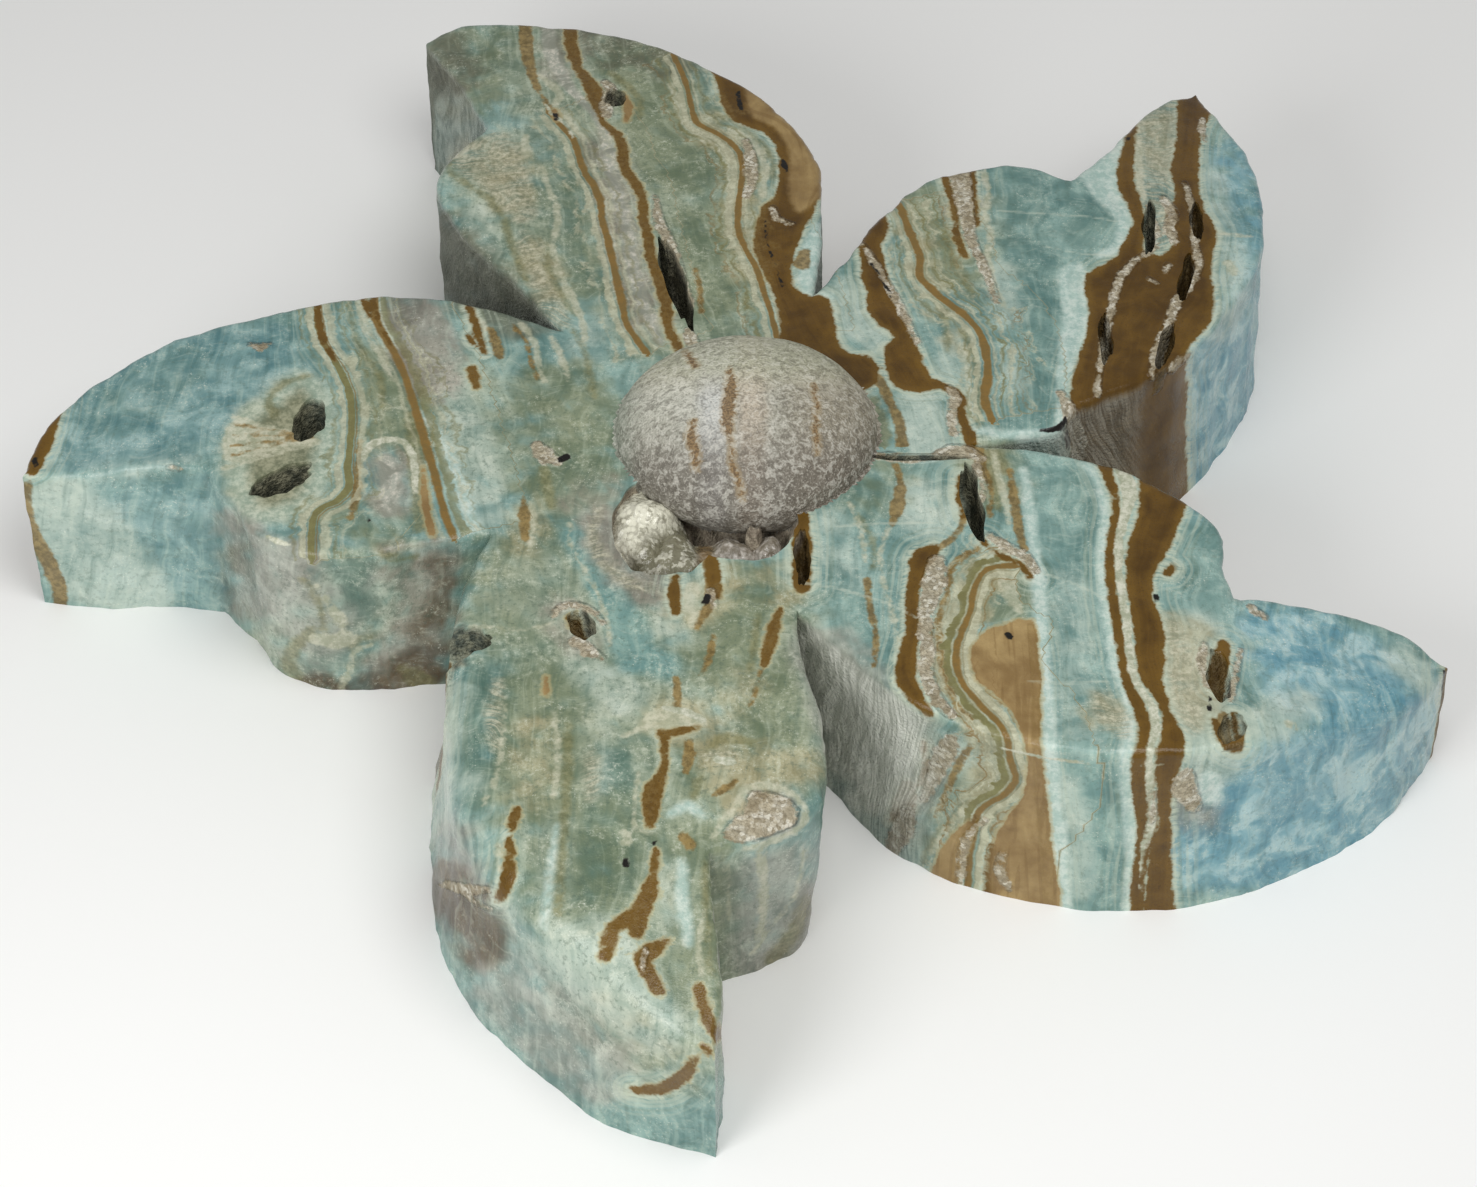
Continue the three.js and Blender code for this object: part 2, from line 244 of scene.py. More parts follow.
def edge_and_flare(petal, run, along):
    """The radius of the top edge, and how far the wall's foot stands out, along one run."""
    if run == "side":
        near_tip = smooth(*TIP_FADE, along)
        soft = smooth(petal["soft_from"], petal["soft_from"] + SOFT_RUN, along) * (1 - SOFT_LOSS * near_tip)
        edge = EDGE_ROUND + (petal["soft"] - EDGE_ROUND) * soft
        return edge, petal["flare"] * smooth(0, FLARE_RUN, along) * (1 - near_tip)
    if run == "step":
        return np.full(len(along), EDGE_ROUND), np.zeros(len(along))
    hump = np.sin(math.pi * along)
    return EDGE_ROUND + (petal["lobe_round"] - EDGE_ROUND) * hump, petal["lobe_flare"] * hump


def carved_outline():
    """Arrays x, y, edge radius, flare, petal index, matte share, way to the corner and normal."""
    rows = []
    names = list(PETALS)
    for index, name in enumerate(names):
        petal = PETALS[name]
        following = PETALS[names[(index + 1) % len(names)]]
        runs = {
            "side": [petal["start"], *petal["side"], petal["tip"]],
            "step": [petal["tip"], *petal["step"], petal["notch"]],
            "lobe": [petal["notch"], *petal["lobe"], following["start"]],
        }
        for run, corners in runs.items():
            points = curve_through(corners, RING_STEP)
            lengths = np.concatenate([[0], np.cumsum(np.linalg.norm(np.diff(points, axis=0), axis=1))])
            count = round(lengths[-1] / RING_STEP)
            along = np.arange(count) / count
            x = np.interp(along * lengths[-1], lengths, points[:, 0])
            y = np.interp(along * lengths[-1], lengths, points[:, 1])
            edge, flare = edge_and_flare(petal, run, along)
            matte = matte_share(petal["matte"], run, along)
            corner = np.minimum(along, 1 - along) * lengths[-1]
            rows.append(np.column_stack([x, y, edge, flare, np.full(count, index), matte, corner]))
    table = np.vstack(rows)
    ahead = np.roll(table[:, :2], -1, axis=0) - np.roll(table[:, :2], 1, axis=0)
    normal = np.column_stack([ahead[:, 1], -ahead[:, 0]])
    normal /= np.linalg.norm(normal, axis=1)[:, None]
    reach = round(3 * NORMAL_BLUR / RING_STEP)
    blurred = sum(
        np.roll(normal, k, axis=0) * math.exp(-0.5 * (k * RING_STEP / NORMAL_BLUR) ** 2)
        for k in range(-reach, reach + 1)
    )
    blurred /= np.linalg.norm(blurred, axis=1)[:, None]
    table[:, 2] = np.minimum(table[:, 2], EDGE_ROUND * CORNER_ROUND + CORNER_GUARD * table[:, 6])
    wobble = ripples(table[:, :2], OUTLINE_WOBBLE)
    table[:, :2] += blurred * (wobble - OUTLINE_INSET)[:, None]
    return np.hstack([table, blurred])


def wall_rings(outline):
    """Closed rings of points, from the foot of the walls up and over the rounded edge."""
    x, y, edge, flare = outline[:, :4].T
    normal = outline[:, 7:9]
    top = top_height(x, y)

    def ring(out, z):
        return np.column_stack([x + normal[:, 0] * out, y + normal[:, 1] * out, z])

    levels = round(SLAB_THICKNESS / WALL_STEP)
    rings = []
    for level in range(levels + 1):
        share = level / levels
        rings.append(ring(flare * (1 - share) ** FLARE_CURVE, (top - edge) * share))
    for level in range(1, EDGE_RINGS + 1):
        angle = math.pi / 2 * level / EDGE_RINGS
        rings.append(ring(-edge * (1 - math.cos(angle)), top - edge * (1 - math.sin(angle))))
    for middle in rings[1:-1]:
        middle[:, :2] += normal * ripples(middle, WALL_WOBBLE)[:, None]
    return rings


def slab_mesh(outline):
    """Vertices and faces of the closed slab, before the hollow, dome and slots."""
    rings = wall_rings(outline)
    count = len(outline)
    vertices = np.vstack(rings)
    faces = []
    for level in range(len(rings) - 1):
        for i in range(count):
            low, low_next = level * count + i, level * count + (i + 1) % count
            faces.append((low, low_next, low_next + count, low + count))
    lids = ((rings[-1][:, :2], (len(rings) - 1) * count, TOP_STEP, True),
            (rings[0][:, :2], 0, UNDER_STEP, False))
    for ring, first, spacing, is_top in lids:
        points = np.vstack([ring, inside_points(ring, spacing)])
        edges = [(i, (i + 1) % count) for i in range(count)]
        found = delaunay_2d_cdt([Vector(p) for p in points], edges, [], 0, 1e-7, True)
        places = np.array([tuple(p) for p in found[0]])
        names = np.full(len(places), -1)
        for new, sources in enumerate(found[3]):
            if sources and sources[0] < count:
                names[new] = first + sources[0]
        fresh = np.nonzero(names < 0)[0]
        names[fresh] = len(vertices) + np.arange(len(fresh))
        z = np.zeros(len(fresh))
        if is_top:
            z = top_height(*places[fresh].T) + ripples(places[fresh], TOP_WOBBLE)
        vertices = np.vstack([vertices, np.column_stack([places[fresh], z])])
        shapes = np.array(found[2])
        of_rim = (names[shapes] < first + count).all(1) & (names[shapes] >= first).all(1)
        spans = np.nonzero(of_rim)[0]
        outside = spans[~inside_ring(places[shapes[spans]].mean(1), ring)]
        for face in np.delete(shapes, outside, axis=0):
            named = [int(names[i]) for i in face]
            faces.append(tuple(named if is_top else named[::-1]))
    return vertices, faces


def inside_ring(points, ring):
    following = np.roll(ring, -1, axis=0)
    above = ring[None, :, 1] > points[:, 1:]
    crosses = above != (following[None, :, 1] > points[:, 1:])
    rise = np.where(following[:, 1] == ring[:, 1], 1, following[:, 1] - ring[:, 1])
    at = ring[:, 0] + (points[:, 1:] - ring[:, 1]) * (following[:, 0] - ring[:, 0]) / rise
    return (crosses & (points[:, :1] < at)).sum(1) % 2 == 1


def inside_points(ring, spacing):
    """Jittered points on a triangular grid inside a ring, a little away from it."""
    low, high = ring.min(0), ring.max(0)
    following = np.roll(ring, -1, axis=0)
    near = nearest_tree([(*point, 0) for point in np.vstack([ring, (ring + following) / 2])])
    rng = np.random.default_rng(JITTER_SEED)
    kept = []
    for row, y in enumerate(np.arange(low[1], high[1], spacing * math.sqrt(3) / 2)):
        crossing = (ring[:, 1] > y) != (following[:, 1] > y)
        a, b = ring[crossing], following[crossing]
        at = np.sort(a[:, 0] + (y - a[:, 1]) * (b[:, 0] - a[:, 0]) / (b[:, 1] - a[:, 1]))
        x = np.arange(low[0] + row % 2 * spacing / 2, high[0], spacing)
        x = x[np.searchsorted(at, x) % 2 == 1]
        stray = rng.uniform(-JITTER, JITTER, (len(x), 2)) * spacing
        points = np.column_stack([x, np.full(len(x), y)]) + stray
        kept.extend(p for p in points if near.find((*p, 0))[2] > spacing * RIM_GAP)
    return np.array(kept)


# ---- distances to markings drawn in plan ----
FAR = 9.0
STROKE_STEP = 1.2
PATCH_STEP = 1.4
LINE_STEP = 1


def along_segment(points, start, ahead):
    """How far along a segment, in shares of it, the nearest place to each point would be."""
    return ((points - start) @ ahead) / max(float(ahead @ ahead), 1e-9)


def gap_to_segment(points, start, ahead, t):
    return np.linalg.norm(points - start - t[:, None] * ahead, axis=1)


def stroke_distance(points, stroke):
    """Least distance of each point to the outline of a stroke of (x, y, width)."""
    line = curve_through(stroke, STROKE_STEP)
    places, half = line[:, :2], line[:, 2] / 2
    best = np.full(len(points), FAR)
    for a, b, wide_a, wide_b in zip(places, places[1:], half, half[1:]):
        t = np.clip(along_segment(points, a, b - a), 0, 1)
        best = np.minimum(best, gap_to_segment(points, a, b - a, t) - (wide_a + (wide_b - wide_a) * t))
    return best


def patch_distance(points, corners):
    """Distance of each point to a closed patch, negative inside it."""
    ring = curve_through(corners, PATCH_STEP, closed=True)[:, :2]
    distance = np.full(len(points), FAR)
    low, high = ring.min(0) - FAR, ring.max(0) + FAR
    near = np.nonzero(np.all((points > low) & (points < high), axis=1))[0]
    local = points[near]
    best = np.full(len(near), FAR)
    odd = np.zeros(len(near), bool)
    for a, b in zip(ring, np.roll(ring, -1, axis=0)):
        t = np.clip(along_segment(local, a, b - a), 0, 1)
        best = np.minimum(best, gap_to_segment(local, a, b - a, t))
        crosses = (a[1] > local[:, 1]) != (b[1] > local[:, 1])
        if crosses.any():
            at = a[0] + (local[:, 1] - a[1]) * (b[0] - a[0]) / (b[1] - a[1] if b[1] != a[1] else 1)
            odd ^= crosses & (local[:, 0] < at)
    distance[near] = np.where(odd, -best, best)
    return distance


def side_offset(points, line):
    """How far each point lies to the right of a line as it is drawn, FAR beyond its ends."""
    rows = curve_through([(x, y, 0) for x, y in line], LINE_STEP)[:, :2]
    best = np.full(len(points), FAR)
    offset = np.full(len(points), FAR)
    for index, (a, b) in enumerate(zip(rows, rows[1:])):
        ahead = b - a
        t = along_segment(points, a, ahead)
        beyond = ((t < 0) & (index == 0)) | ((t > 1) & (index == len(rows) - 2))
        gap = gap_to_segment(points, a, ahead, np.clip(t, 0, 1))
        side = (points[:, 0] - a[0]) * ahead[1] - (points[:, 1] - a[1]) * ahead[0]
        signed = np.where(beyond & (gap > 1), FAR, np.copysign(gap, side))
        closer = gap < best
        best = np.where(closer, gap, best)
        offset = np.where(closer, signed, offset)
    return offset


def wide(line, *widths):
    """A line as a stroke whose width runs evenly through the ones given."""
    spots = np.linspace(0, 1, len(widths))
    return [(x, y, float(np.interp(i / (len(line) - 1), spots, widths))) for i, (x, y) in enumerate(line)]


# ---- markings, in plan ----
# Lines that marks and fine layers follow, as (x, y) in millimetres.
A_LINE = [(-23.2, 57.2), (-21.5, 54.1), (-20, 51.5), (-19.2, 48.1), (-18.5, 45.6), (-17, 42.1),
          (-16.4, 39.6), (-16.2, 37), (-15.5, 33.6), (-14.9, 30.2), (-14.3, 26.8), (-13.6, 22.9),
          (-13, 19.1), (-12.1, 17), (-10.6, 14)]
A_TAN = [(-8.1, 67.8), (-7, 64.3), (-6.2, 60.9), (-5.7, 57.5), (-4.9, 54.5), (-3.2, 53.2), (-1, 51.1),
         (0.2, 49), (0.5, 45.6), (0.2, 41.7), (0, 38.3), (0, 35.3), (0.7, 32.3), (2, 28.9), (3, 24.6),
         (3.9, 20.4), (4.5, 16.5)]
B_TAN = [(19, 40.5), (19.9, 37), (20.6, 33.8), (21.5, 30.5), (21.3, 27.2), (22.5, 24.9), (24.3, 22.6),
         (26.7, 19.8), (28.1, 17), (28.6, 13.7), (28.6, 10), (28.1, 6.2), (28.8, 2.9)]
C_SWIRL = [(30.3, -19.8), (27.3, -20.3), (25.8, -23.3), (25.3, -26.4), (24.3, -29.4), (23.5, -32.4),
           (23.8, -36.5), (25.8, -40), (28.1, -43.6), (28.6, -47.6), (29, -50.7), (27.6, -52.7),
           (25.3, -54.4), (24.1, -58.8), (23.4, -65.4)]
E_LINE = [(-49, 22.4), (-48.3, 17.9), (-47.5, 15.3), (-46, 12.3), (-44.2, 7.7), (-43.7, 4.7), (-43.5, -0.4),
          (-43.5, -4.4), (-43.2, -8), (-44.5, -10), (-46.5, -11.5), (-46.8, -15.6), (-46.5, -19)]
E_BROWN = [(-42.4, 23.4), (-42, 19.4), (-40.4, 15.8), (-38.9, 12.3), (-37.9, 9.3), (-36.9, 5.7),
           (-36.1, 2.7), (-35.1, -1.4), (-34.1, -4.9), (-33.3, -8.5), (-32.3, -12.5), (-31.3, -15.5)]

# The marks of each petal and of the middle (M), by kind: strokes of (x, y, width), or closed patches
# of (x, y). They are laid out on the top, and run on down the walls that face the front.
MARKS = {
    "A": {
        "gold": [
            [(-26.8, 76, 1.7), (-26.4, 70, 1.7), (-25.6, 65, 1.1), (-24.2, 60.4, 0.6), (-23, 57.6, 0.8)],
            [(-5, 28.2, 0.5), (-4.4, 24.7, 0.7), (-4.3, 20.8, 0.6)],
            [(3.2, 38, 0.8), (3.1, 34, 1.1), (3.6, 30, 1.1), (4.6, 26, 0.9), (5.4, 22, 0.8)],
            [(7.9, 31, 1.5), (7.5, 29, 1.9)],
        ],
        "chalk": [
            [(-24, 75.6, 1.8), (-23.4, 70, 2), (-21.8, 64.4, 1.6), (-19.8, 60, 1.2), (-17.6, 56.6, 1.2),
             (-16.4, 54, 1.3)],
            wide([(-16.4, 54.1), (-16, 50.7), (-15.5, 47.3), (-14.3, 41.7), (-13.6, 38.3), (-13, 33.6),
             (-12.6, 29.8), (-11.5, 24.6), (-10.4, 20.4), (-9.1, 15.6)], 1.4, 1.8, 1.6, 1.8, 1.2),
        ],
        "cream": [
            [(-24.7, 64.8, 0.5), (-22.8, 62.2, 0.9), (-21.9, 60.1, 1), (-22.6, 58.4, 0.9), (-21.1, 56.7, 0.8),
             (-20, 54.1, 0.7), (-18.4, 51, 0.5)],
            [(-8.2, 62, 0.8), (-7.4, 58.5, 1.2), (-6.6, 55, 1), (-4.6, 52, 0.8), (-1.8, 49, 0.9),
             (-0.9, 44, 0.9), (-1.2, 38, 0.7)],
            [(-1, 53.6, 0.7), (1.1, 51.9, 0.8), (3.1, 48.1, 0.9), (3.2, 44.7, 1), (2.9, 41.2, 0.9)],
            [(-34.4, 48.6, 0.6), (-33.4, 49.8, 1.2), (-32.8, 51.2, 0.8)],
            [(-23.6, 46.4, 0.6), (-22.8, 42.6, 0.8), (-21.7, 39.6, 0.8), (-21.5, 36.2, 0.8),
             (-21.9, 32.8, 0.7), (-21.6, 29.8, 0.8), (-20.4, 25.9, 0.9), (-19.1, 22.5, 1), (-18, 19, 0.8),
             (-17.6, 15, 0.5)],
            [(-25.9, 52.4, 0.9), (-25.6, 49, 1.3)],
            [(-17.6, 47, 0.5), (-16.2, 42, 0.6), (-15.3, 37, 0.5), (-14.3, 31, 0.5)],
        ],
        "fawn": [
            [(-22.6, 57.2, 0.9), (-22.2, 55.6, 0.8)],
            [(-14.2, 60.4, 0.4), (-13.6, 58.6, 1.1), (-13.4, 56.6, 1.1), (-13.8, 55, 0.4)],
        ],
        "crack": [
            [(-22.4, 56.7, 0.7), (-22.3, 55.7, 0.7)], [(0, 61, 0.35), (0.1, 59, 0.6), (0.5, 56.8, 0.3)],
            [(5.2, 48.6, 0.3), (5.6, 47, 0.7), (5.9, 45.6, 0.3)],
            [(3.2, 36.6, 0.3), (3.5, 32.8, 0.3), (4.4, 28.9, 0.35), (5.3, 25.2, 0.3)],
        ],
        "brown": [
            [(-21.1, 75, 1.6), (-20.7, 69.9, 1.5), (-19.8, 65.6, 1.2), (-18.7, 63.1, 1.6), (-17.7, 60.9, 2),
             (-17.5, 59.2, 1.7), (-17, 57, 0.7), (-16.4, 54.7, 0.8), (-14.7, 52.4, 1.1), (-14, 49.8, 1.2),
             (-13.8, 46.8, 1.2), (-12.6, 43.9, 1.2), (-11.5, 40.9, 1.1), (-11.3, 37.5, 1.1),
             (-10.6, 33.6, 1.1), (-10.2, 30.6, 1.2), (-9.6, 27.6, 1.3), (-8.7, 24.2, 1.3), (-8.3, 20.8, 1.3),
             (-7.9, 17.8, 1.1), (-6.8, 14.6, 1)],
        ],
        "druse": [
            [(-16.4, 62.5, 1), (-15.6, 60.4, 1.7), (-16.2, 58, 1.6), (-16, 56.2, 1.4)],
            [(-9.9, 41, 0.6), (-9.3, 36.2, 1.3), (-8.1, 32.8, 1.4), (-7.2, 29.3, 1.2), (-6.4, 26, 1),
             (-5.5, 22, 0.7)],
            [(1, 51.3, 0.8), (1.5, 47.3, 1.7), (1.6, 43.9, 1.3), (1.1, 41.2, 0.9)],
            [(4.2, 39, 0.8), (4.6, 37.2, 0.9), (6.6, 36.1, 0.5)],
        ],
        "olive": [
            [(-15.8, 64.4, 0.8), (-13.8, 62, 0.9), (-12.2, 59, 0.8), (-12, 55.6, 0.6)],
            [(-2.6, 56.4, 0.5), (0, 54.2, 0.6), (2.6, 51.5, 0.7), (4.2, 47.4, 0.7), (4.1, 43, 0.6)],
            [(-34.9, 47.6, 0.7), (-34.3, 45.1, 0.9), (-32.2, 43, 1), (-29.6, 40.4, 1), (-27.6, 36, 0.9),
             (-26.4, 31, 0.7), (-24.9, 26.4, 0.6)],
            [(-22.4, 33, 0.5), (-22.4, 29, 0.6), (-20.9, 24.6, 0.6), (-19, 20.4, 0.6)],
        ],
        "brown patch": [
            [(-4.6, 68), (-2.7, 63.1), (-2.1, 59.2), (-1, 55.8), (0.7, 54.3), (2.8, 53.2), (4.5, 50.7),
             (5, 47.6), (4.9, 43.9), (4.3, 40.6), (3.2, 39.6), (2.4, 37), (2, 34.5), (1.9, 31.9), (2.9, 28.1),
             (4.2, 24.2), (4.9, 19.1), (5.2, 15), (9, 15), (11, 20), (10.6, 22.6), (7.6, 23.8), (6.5, 25.5),
             (6.3, 28), (6.6, 31.5), (7.2, 33), (7.8, 35.4), (8.8, 37.6), (9.3, 40), (11, 44), (13, 52),
             (8, 62), (0, 68)],
        ],
        "fawn patch": [
            [(0.6, 66), (1, 60), (1.2, 57), (2, 55.6), (4.4, 53.8), (5.9, 50.6), (6.2, 47), (6, 43.6),
             (6.4, 40), (7.4, 38), (9, 40), (12, 44), (13, 52), (8, 62)],
        ],
        "pale": [[(9.6, 36, 1), (8.9, 33, 2), (8.6, 28, 3.2), (8.4, 24.6, 1.8), (11, 23.4, 1)]],
        "comb patch": [
            [(-34.6, 48.5), (-31.3, 52.6), (-29.2, 53.5), (-26.4, 50.5), (-25.3, 45.6), (-24.4, 41.7),
             (-24, 37.5), (-25.8, 35.9), (-27.6, 37.6), (-29.4, 41), (-32, 43.8), (-34, 46)],
            [(-25.8, 34.9), (-23, 32.8), (-23, 28.9), (-21.7, 25.1), (-20, 21.7), (-19.2, 18.2),
             (-21.1, 18.2), (-23.4, 22.5), (-24.9, 26.8), (-26, 31.1)],
        ],
    },
    "B": {
        "brown patch": [
            [(16.5, 39), (18, 36.3), (17.6, 34.2), (16.9, 32.4), (17.3, 29.1), (18, 25.4), (19.2, 21.2),
             (19.9, 17.4), (20.6, 15.6), (21.1, 13.2), (22, 9.9), (22.9, 8.1), (20.1, 7.6), (17.8, 8.5),
             (17.1, 11.4), (16.9, 14.9), (18.1, 16.5), (17.8, 17.4), (16.4, 18.4), (15.2, 21.2), (15, 24.9),
             (14.5, 27.2), (14.5, 30), (14, 33.3), (13.6, 36)],
            [(9.4, 24), (10.5, 23.1), (11.1, 19.3), (11.7, 15.6), (13.1, 13.6), (15, 13.6), (16.2, 10),
             (14.4, 7.6), (12, 8), (8, 14), (5, 17)],
            [(38.4, 7), (44, 9), (50.6, 12), (50.4, 0), (49.6, -14), (49, -24), (37, -24), (37.6, -8)],
            [(46.8, 33), (44.8, 30.6), (42.4, 28.6), (41, 27.4), (40.6, 24), (40.9, 20.6), (40.2, 16.6),
             (38.9, 12), (38.1, 8), (38.3, 4), (46, 6), (50, 8), (51.3, 11.4), (52, 15), (54.4, 18.4),
             (55.5, 22), (55.6, 28), (56.2, 31.5), (56.8, 35), (55.9, 38), (55.4, 42), (55.8, 48), (56.8, 55),
             (59, 62), (57, 66), (54.6, 62), (54, 57), (53.4, 52), (52.3, 46), (52.6, 42), (51, 37),
             (51.8, 33), (50, 30.5), (48.2, 31)],
        ],
        "druse": [
            [(14.6, 32.6, 0.8), (16, 29.6, 0.9), (17.2, 26.4, 0.9), (18.6, 22.6, 1.1), (19.8, 18.6, 0.9),
             (20.8, 15.4, 0.8)],
            [(24.1, 8.2, 0.9), (24.7, 6.4, 1.5), (24.4, 4.6, 0.8), (24.2, 2.6, 1.2), (24.4, 0.6, 0.8)],
            wide([(26.7, 46.5), (26.9, 41.7), (27.2, 38), (27.6, 33.3), (28.6, 29.6), (29.5, 26.3),
             (30.2, 22.6)], 2.2, 2.4, 1.6, 1.2, 1, 0.8),
            [(48.9, 40, 0.5), (49.3, 38, 0.6), (49.8, 35, 0.6), (49.2, 32, 0.7), (47.4, 30.2, 0.8),
             (45.2, 27.4, 1), (44.2, 24.4, 1), (43.4, 21, 0.7), (42.6, 18, 1.2), (42.2, 14, 1.2),
             (41.5, 11, 0.6), (41, 7, 0.7)],
            [(51, 41, 1.2), (51.9, 38, 1.3), (51.2, 35.2, 1.4), (51.7, 33, 1)],
            [(53.8, 44.4, 0.4), (54.1, 41, 0.8), (54.5, 37, 1.1), (54, 32.4, 0.9), (54.4, 29.6, 0.9),
             (53.3, 26.2, 0.9), (51.6, 23.2, 1.3), (50.4, 20.4, 1), (49.5, 17.9, 0.8), (48.4, 14.8, 1),
             (47.7, 12, 0.8), (47.4, 9.6, 0.6)],
            [(50.6, 29, 0.7), (50.3, 27.9, 0.7)], [(48.2, 26.6, 0.5), (49.2, 25.6, 0.4)],
            [(52, 13.6, 0.8), (50.4, 12.4, 0.9), (49.4, 10.6, 0.6)],
            [(57.2, 58, 0.5), (56.8, 55.4, 0.7), (57, 53, 0.5)],
            [(36.8, 7.4, 0.8), (37.4, 5.2, 1.6), (37.9, 2.4, 1.8), (38.6, 0, 1.6), (38.2, -3, 1.8)],
        ],
        "crack": [
            [(15.7, 29.4, 0.3), (16.8, 26.6, 0.45), (18, 23.4, 0.3)], [(47.7, 53.4, 0.7), (47.6, 52.6, 0.6)],
            [(34, 1.3, 0.35), (36.4, 1.6, 0.9), (37.2, 3.4, 0.4)], [(37.1, 1.2, 0.5), (37.2, -1.6, 0.6)],
        ],
        "cream": [
            [(14.6, 31.9, 0.6), (16.2, 29.8, 0.6), (16.8, 27.2, 0.6), (17.8, 24, 0.6), (18.9, 21.2, 0.6),
             (19.8, 17, 0.5), (19.8, 13.2, 0.6), (20.4, 10, 0.5)],
            [(20.7, 15.6, 0.5), (21, 13, 0.5), (21.7, 10.6, 0.5)],
            [(26, 15.6, 0.6), (26.4, 12, 0.8), (26.4, 7, 0.8), (26.8, 3, 0.6)],
            [(29.5, 46, 0.8), (30, 41.7, 0.8), (29.5, 38, 0.8), (30, 34.2, 0.8), (29.4, 30.5, 0.8),
             (30, 26.3, 0.8), (31, 22, 0.6)],
            [(48.8, 56, 0.8), (48.6, 50, 1.1), (48.4, 45, 1), (48.6, 41, 0.8)],
            [(48.2, 30, 0.8), (45.8, 27.6, 1), (44.6, 24.4, 0.9), (43.8, 21, 0.5)],
            [(57.8, 29.2, 1.4), (58.2, 27.8, 1.5)], [(54.8, 36, 0.3), (57, 34.6, 0.35), (61, 34, 0.35)],
        ],
        "brown": [
            [(22, 9, 1.4), (23.6, 8.4, 1.1), (25.5, 6.6, 1), (25.3, 4.6, 1), (25.6, 2.5, 1.1),
             (26.3, -0.3, 1.3), (26.2, -2, 1)],
            [(24.8, 45, 0.7), (25.7, 40.8, 0.9), (26, 37, 0.8), (26, 33.3, 0.9), (26.9, 30.5, 0.7)],
            [(28.2, 46, 0.8), (28.2, 40.8, 0.8), (28.4, 36, 0.6)],
            [(48.4, 57, 1), (47.7, 52, 1.3), (46.9, 47, 1.9), (46.8, 43, 2), (47.4, 40, 1.8),
             (47.9, 37.2, 1.3), (47.2, 33.8, 1.9), (46.2, 31, 2.6)],
        ],
        "gold": [[(16, 10, 1.4), (17.3, 5.9, 1.2), (18.3, 2.4, 1.2), (18.5, -1.7, 1.4)]],
        "olive": [
            [(15.4, 6, 1.4), (16.4, 2, 1.6), (16.2, -1.6, 1.4)],
            [(22.5, 24, 0.5), (23.9, 21.2, 0.9), (24.2, 17.4, 0.8), (24.2, 14.5, 0.5)],
            [(25.9, 17.8, 0.6), (27.1, 13.7, 0.9), (27.4, 10, 0.9), (27.4, 5, 0.7), (27.2, 1.8, 0.6)],
            [(24.8, 36, 0.8), (25.2, 31, 0.9), (26.4, 27, 1), (27.6, 23.6, 0.8)],
        ],
        "pale patch": [
            [(37.9, 28.2), (40.4, 29.3), (41, 25.4), (40.8, 21.2), (40.2, 16), (38.6, 12.2), (37.6, 8.1),
             (37.2, 3.4), (36, 1.4), (36.3, 7.6), (36.9, 13.2), (37.4, 17.9), (37.7, 22.6)],
            [(41, 46.4), (44.5, 50), (48, 56), (46.6, 46), (46.4, 41), (46.8, 36.5), (46.5, 33), (45, 30.8),
             (42, 30.4), (44.6, 33), (45, 37), (43.2, 40), (42, 43)],
        ],
        "comb patch": [
            [(48.7, 57.6), (51.5, 61.5), (54, 62), (53.9, 58), (53.2, 52), (52.3, 46), (52.2, 42), (52.3, 37),
             (51.4, 33.5), (49.4, 31.4), (47.6, 30), (46, 28), (44.8, 25.6), (44, 22.6), (43.4, 21),
             (43.1, 23.6), (43.9, 27), (46, 30), (48, 32.4), (48.9, 36), (48.3, 40), (47.9, 44), (48.4, 50)],
        ],
        "pale": [[(26.8, 1.4, 1.2), (31, 0.6, 1.6), (36, 0.4, 1.8)]],
        "hair": [
            [(31, 38.6, 0.35), (36.5, 38, 0.4), (41, 37.6, 0.4), (46, 36.4, 0.3)],
            [(35.8, 32.4, 0.3), (40, 31, 0.3), (44, 30.6, 0.3)],
        ],
    },
    "M": {
        "druse": [
            [(14.6, -3, 0.6), (17, -2.8, 1.2), (19, -3.4, 1), (22, -3, 0.9), (24, -1.8, 1.6), (26, -2.4, 2),
             (27.4, -3.2, 1)],
            [(-22.6, -1.4, 1.6), (-21.6, -3, 2.4), (-20.6, -3.6, 1.6)],
            [(-5.8, 17.8, 0.8), (-5.2, 15.6, 1.6), (-4.8, 13, 1)],
        ],
        "cream": [
            [(15.4, -2.6, 0.7), (18.4, -2.7, 0.8), (22.6, -3, 0.7)],
            [(-23, -10, 0.6), (-22.6, -13, 0.8), (-22.9, -16.6, 0.7)],
            [(-22.2, 9.2, 0.6), (-23, 12.6, 0.7), (-23.5, 15.6, 0.8), (-25.2, 18.9, 0.8)],
            [(-19.4, 9.4, 0.6), (-20.2, 13, 0.8), (-21.6, 16.6, 0.7)],
        ],
        "crack": [[(-20, -3.4, 0.7), (-19.3, -3, 1)]],
        "gold": [
            [(-23.8, -9.4, 0.5), (-23.7, -12, 1.2), (-23.4, -15.6, 1)],
            [(-22.9, 9.6, 0.5), (-23.9, 12.8, 0.5), (-24.4, 15.6, 0.6), (-26.2, 18.6, 0.5)],
        ],
        "olive": [
            [(-21.8, -5, 1.2), (-21.2, -8, 1.4), (-20.6, -10.6, 1)],
            [(-16.4, 6.6, 0.7), (-17, 10.6, 0.7), (-17.8, 14.6, 0.7), (-19.4, 18.2, 0.5)],
        ],
    },
    "C": {
        "gold": [
            [(14.1, -21.8, 0.7), (14.4, -26.4, 0.8), (14.9, -29.4, 0.7), (14.6, -34.5, 0.6)],
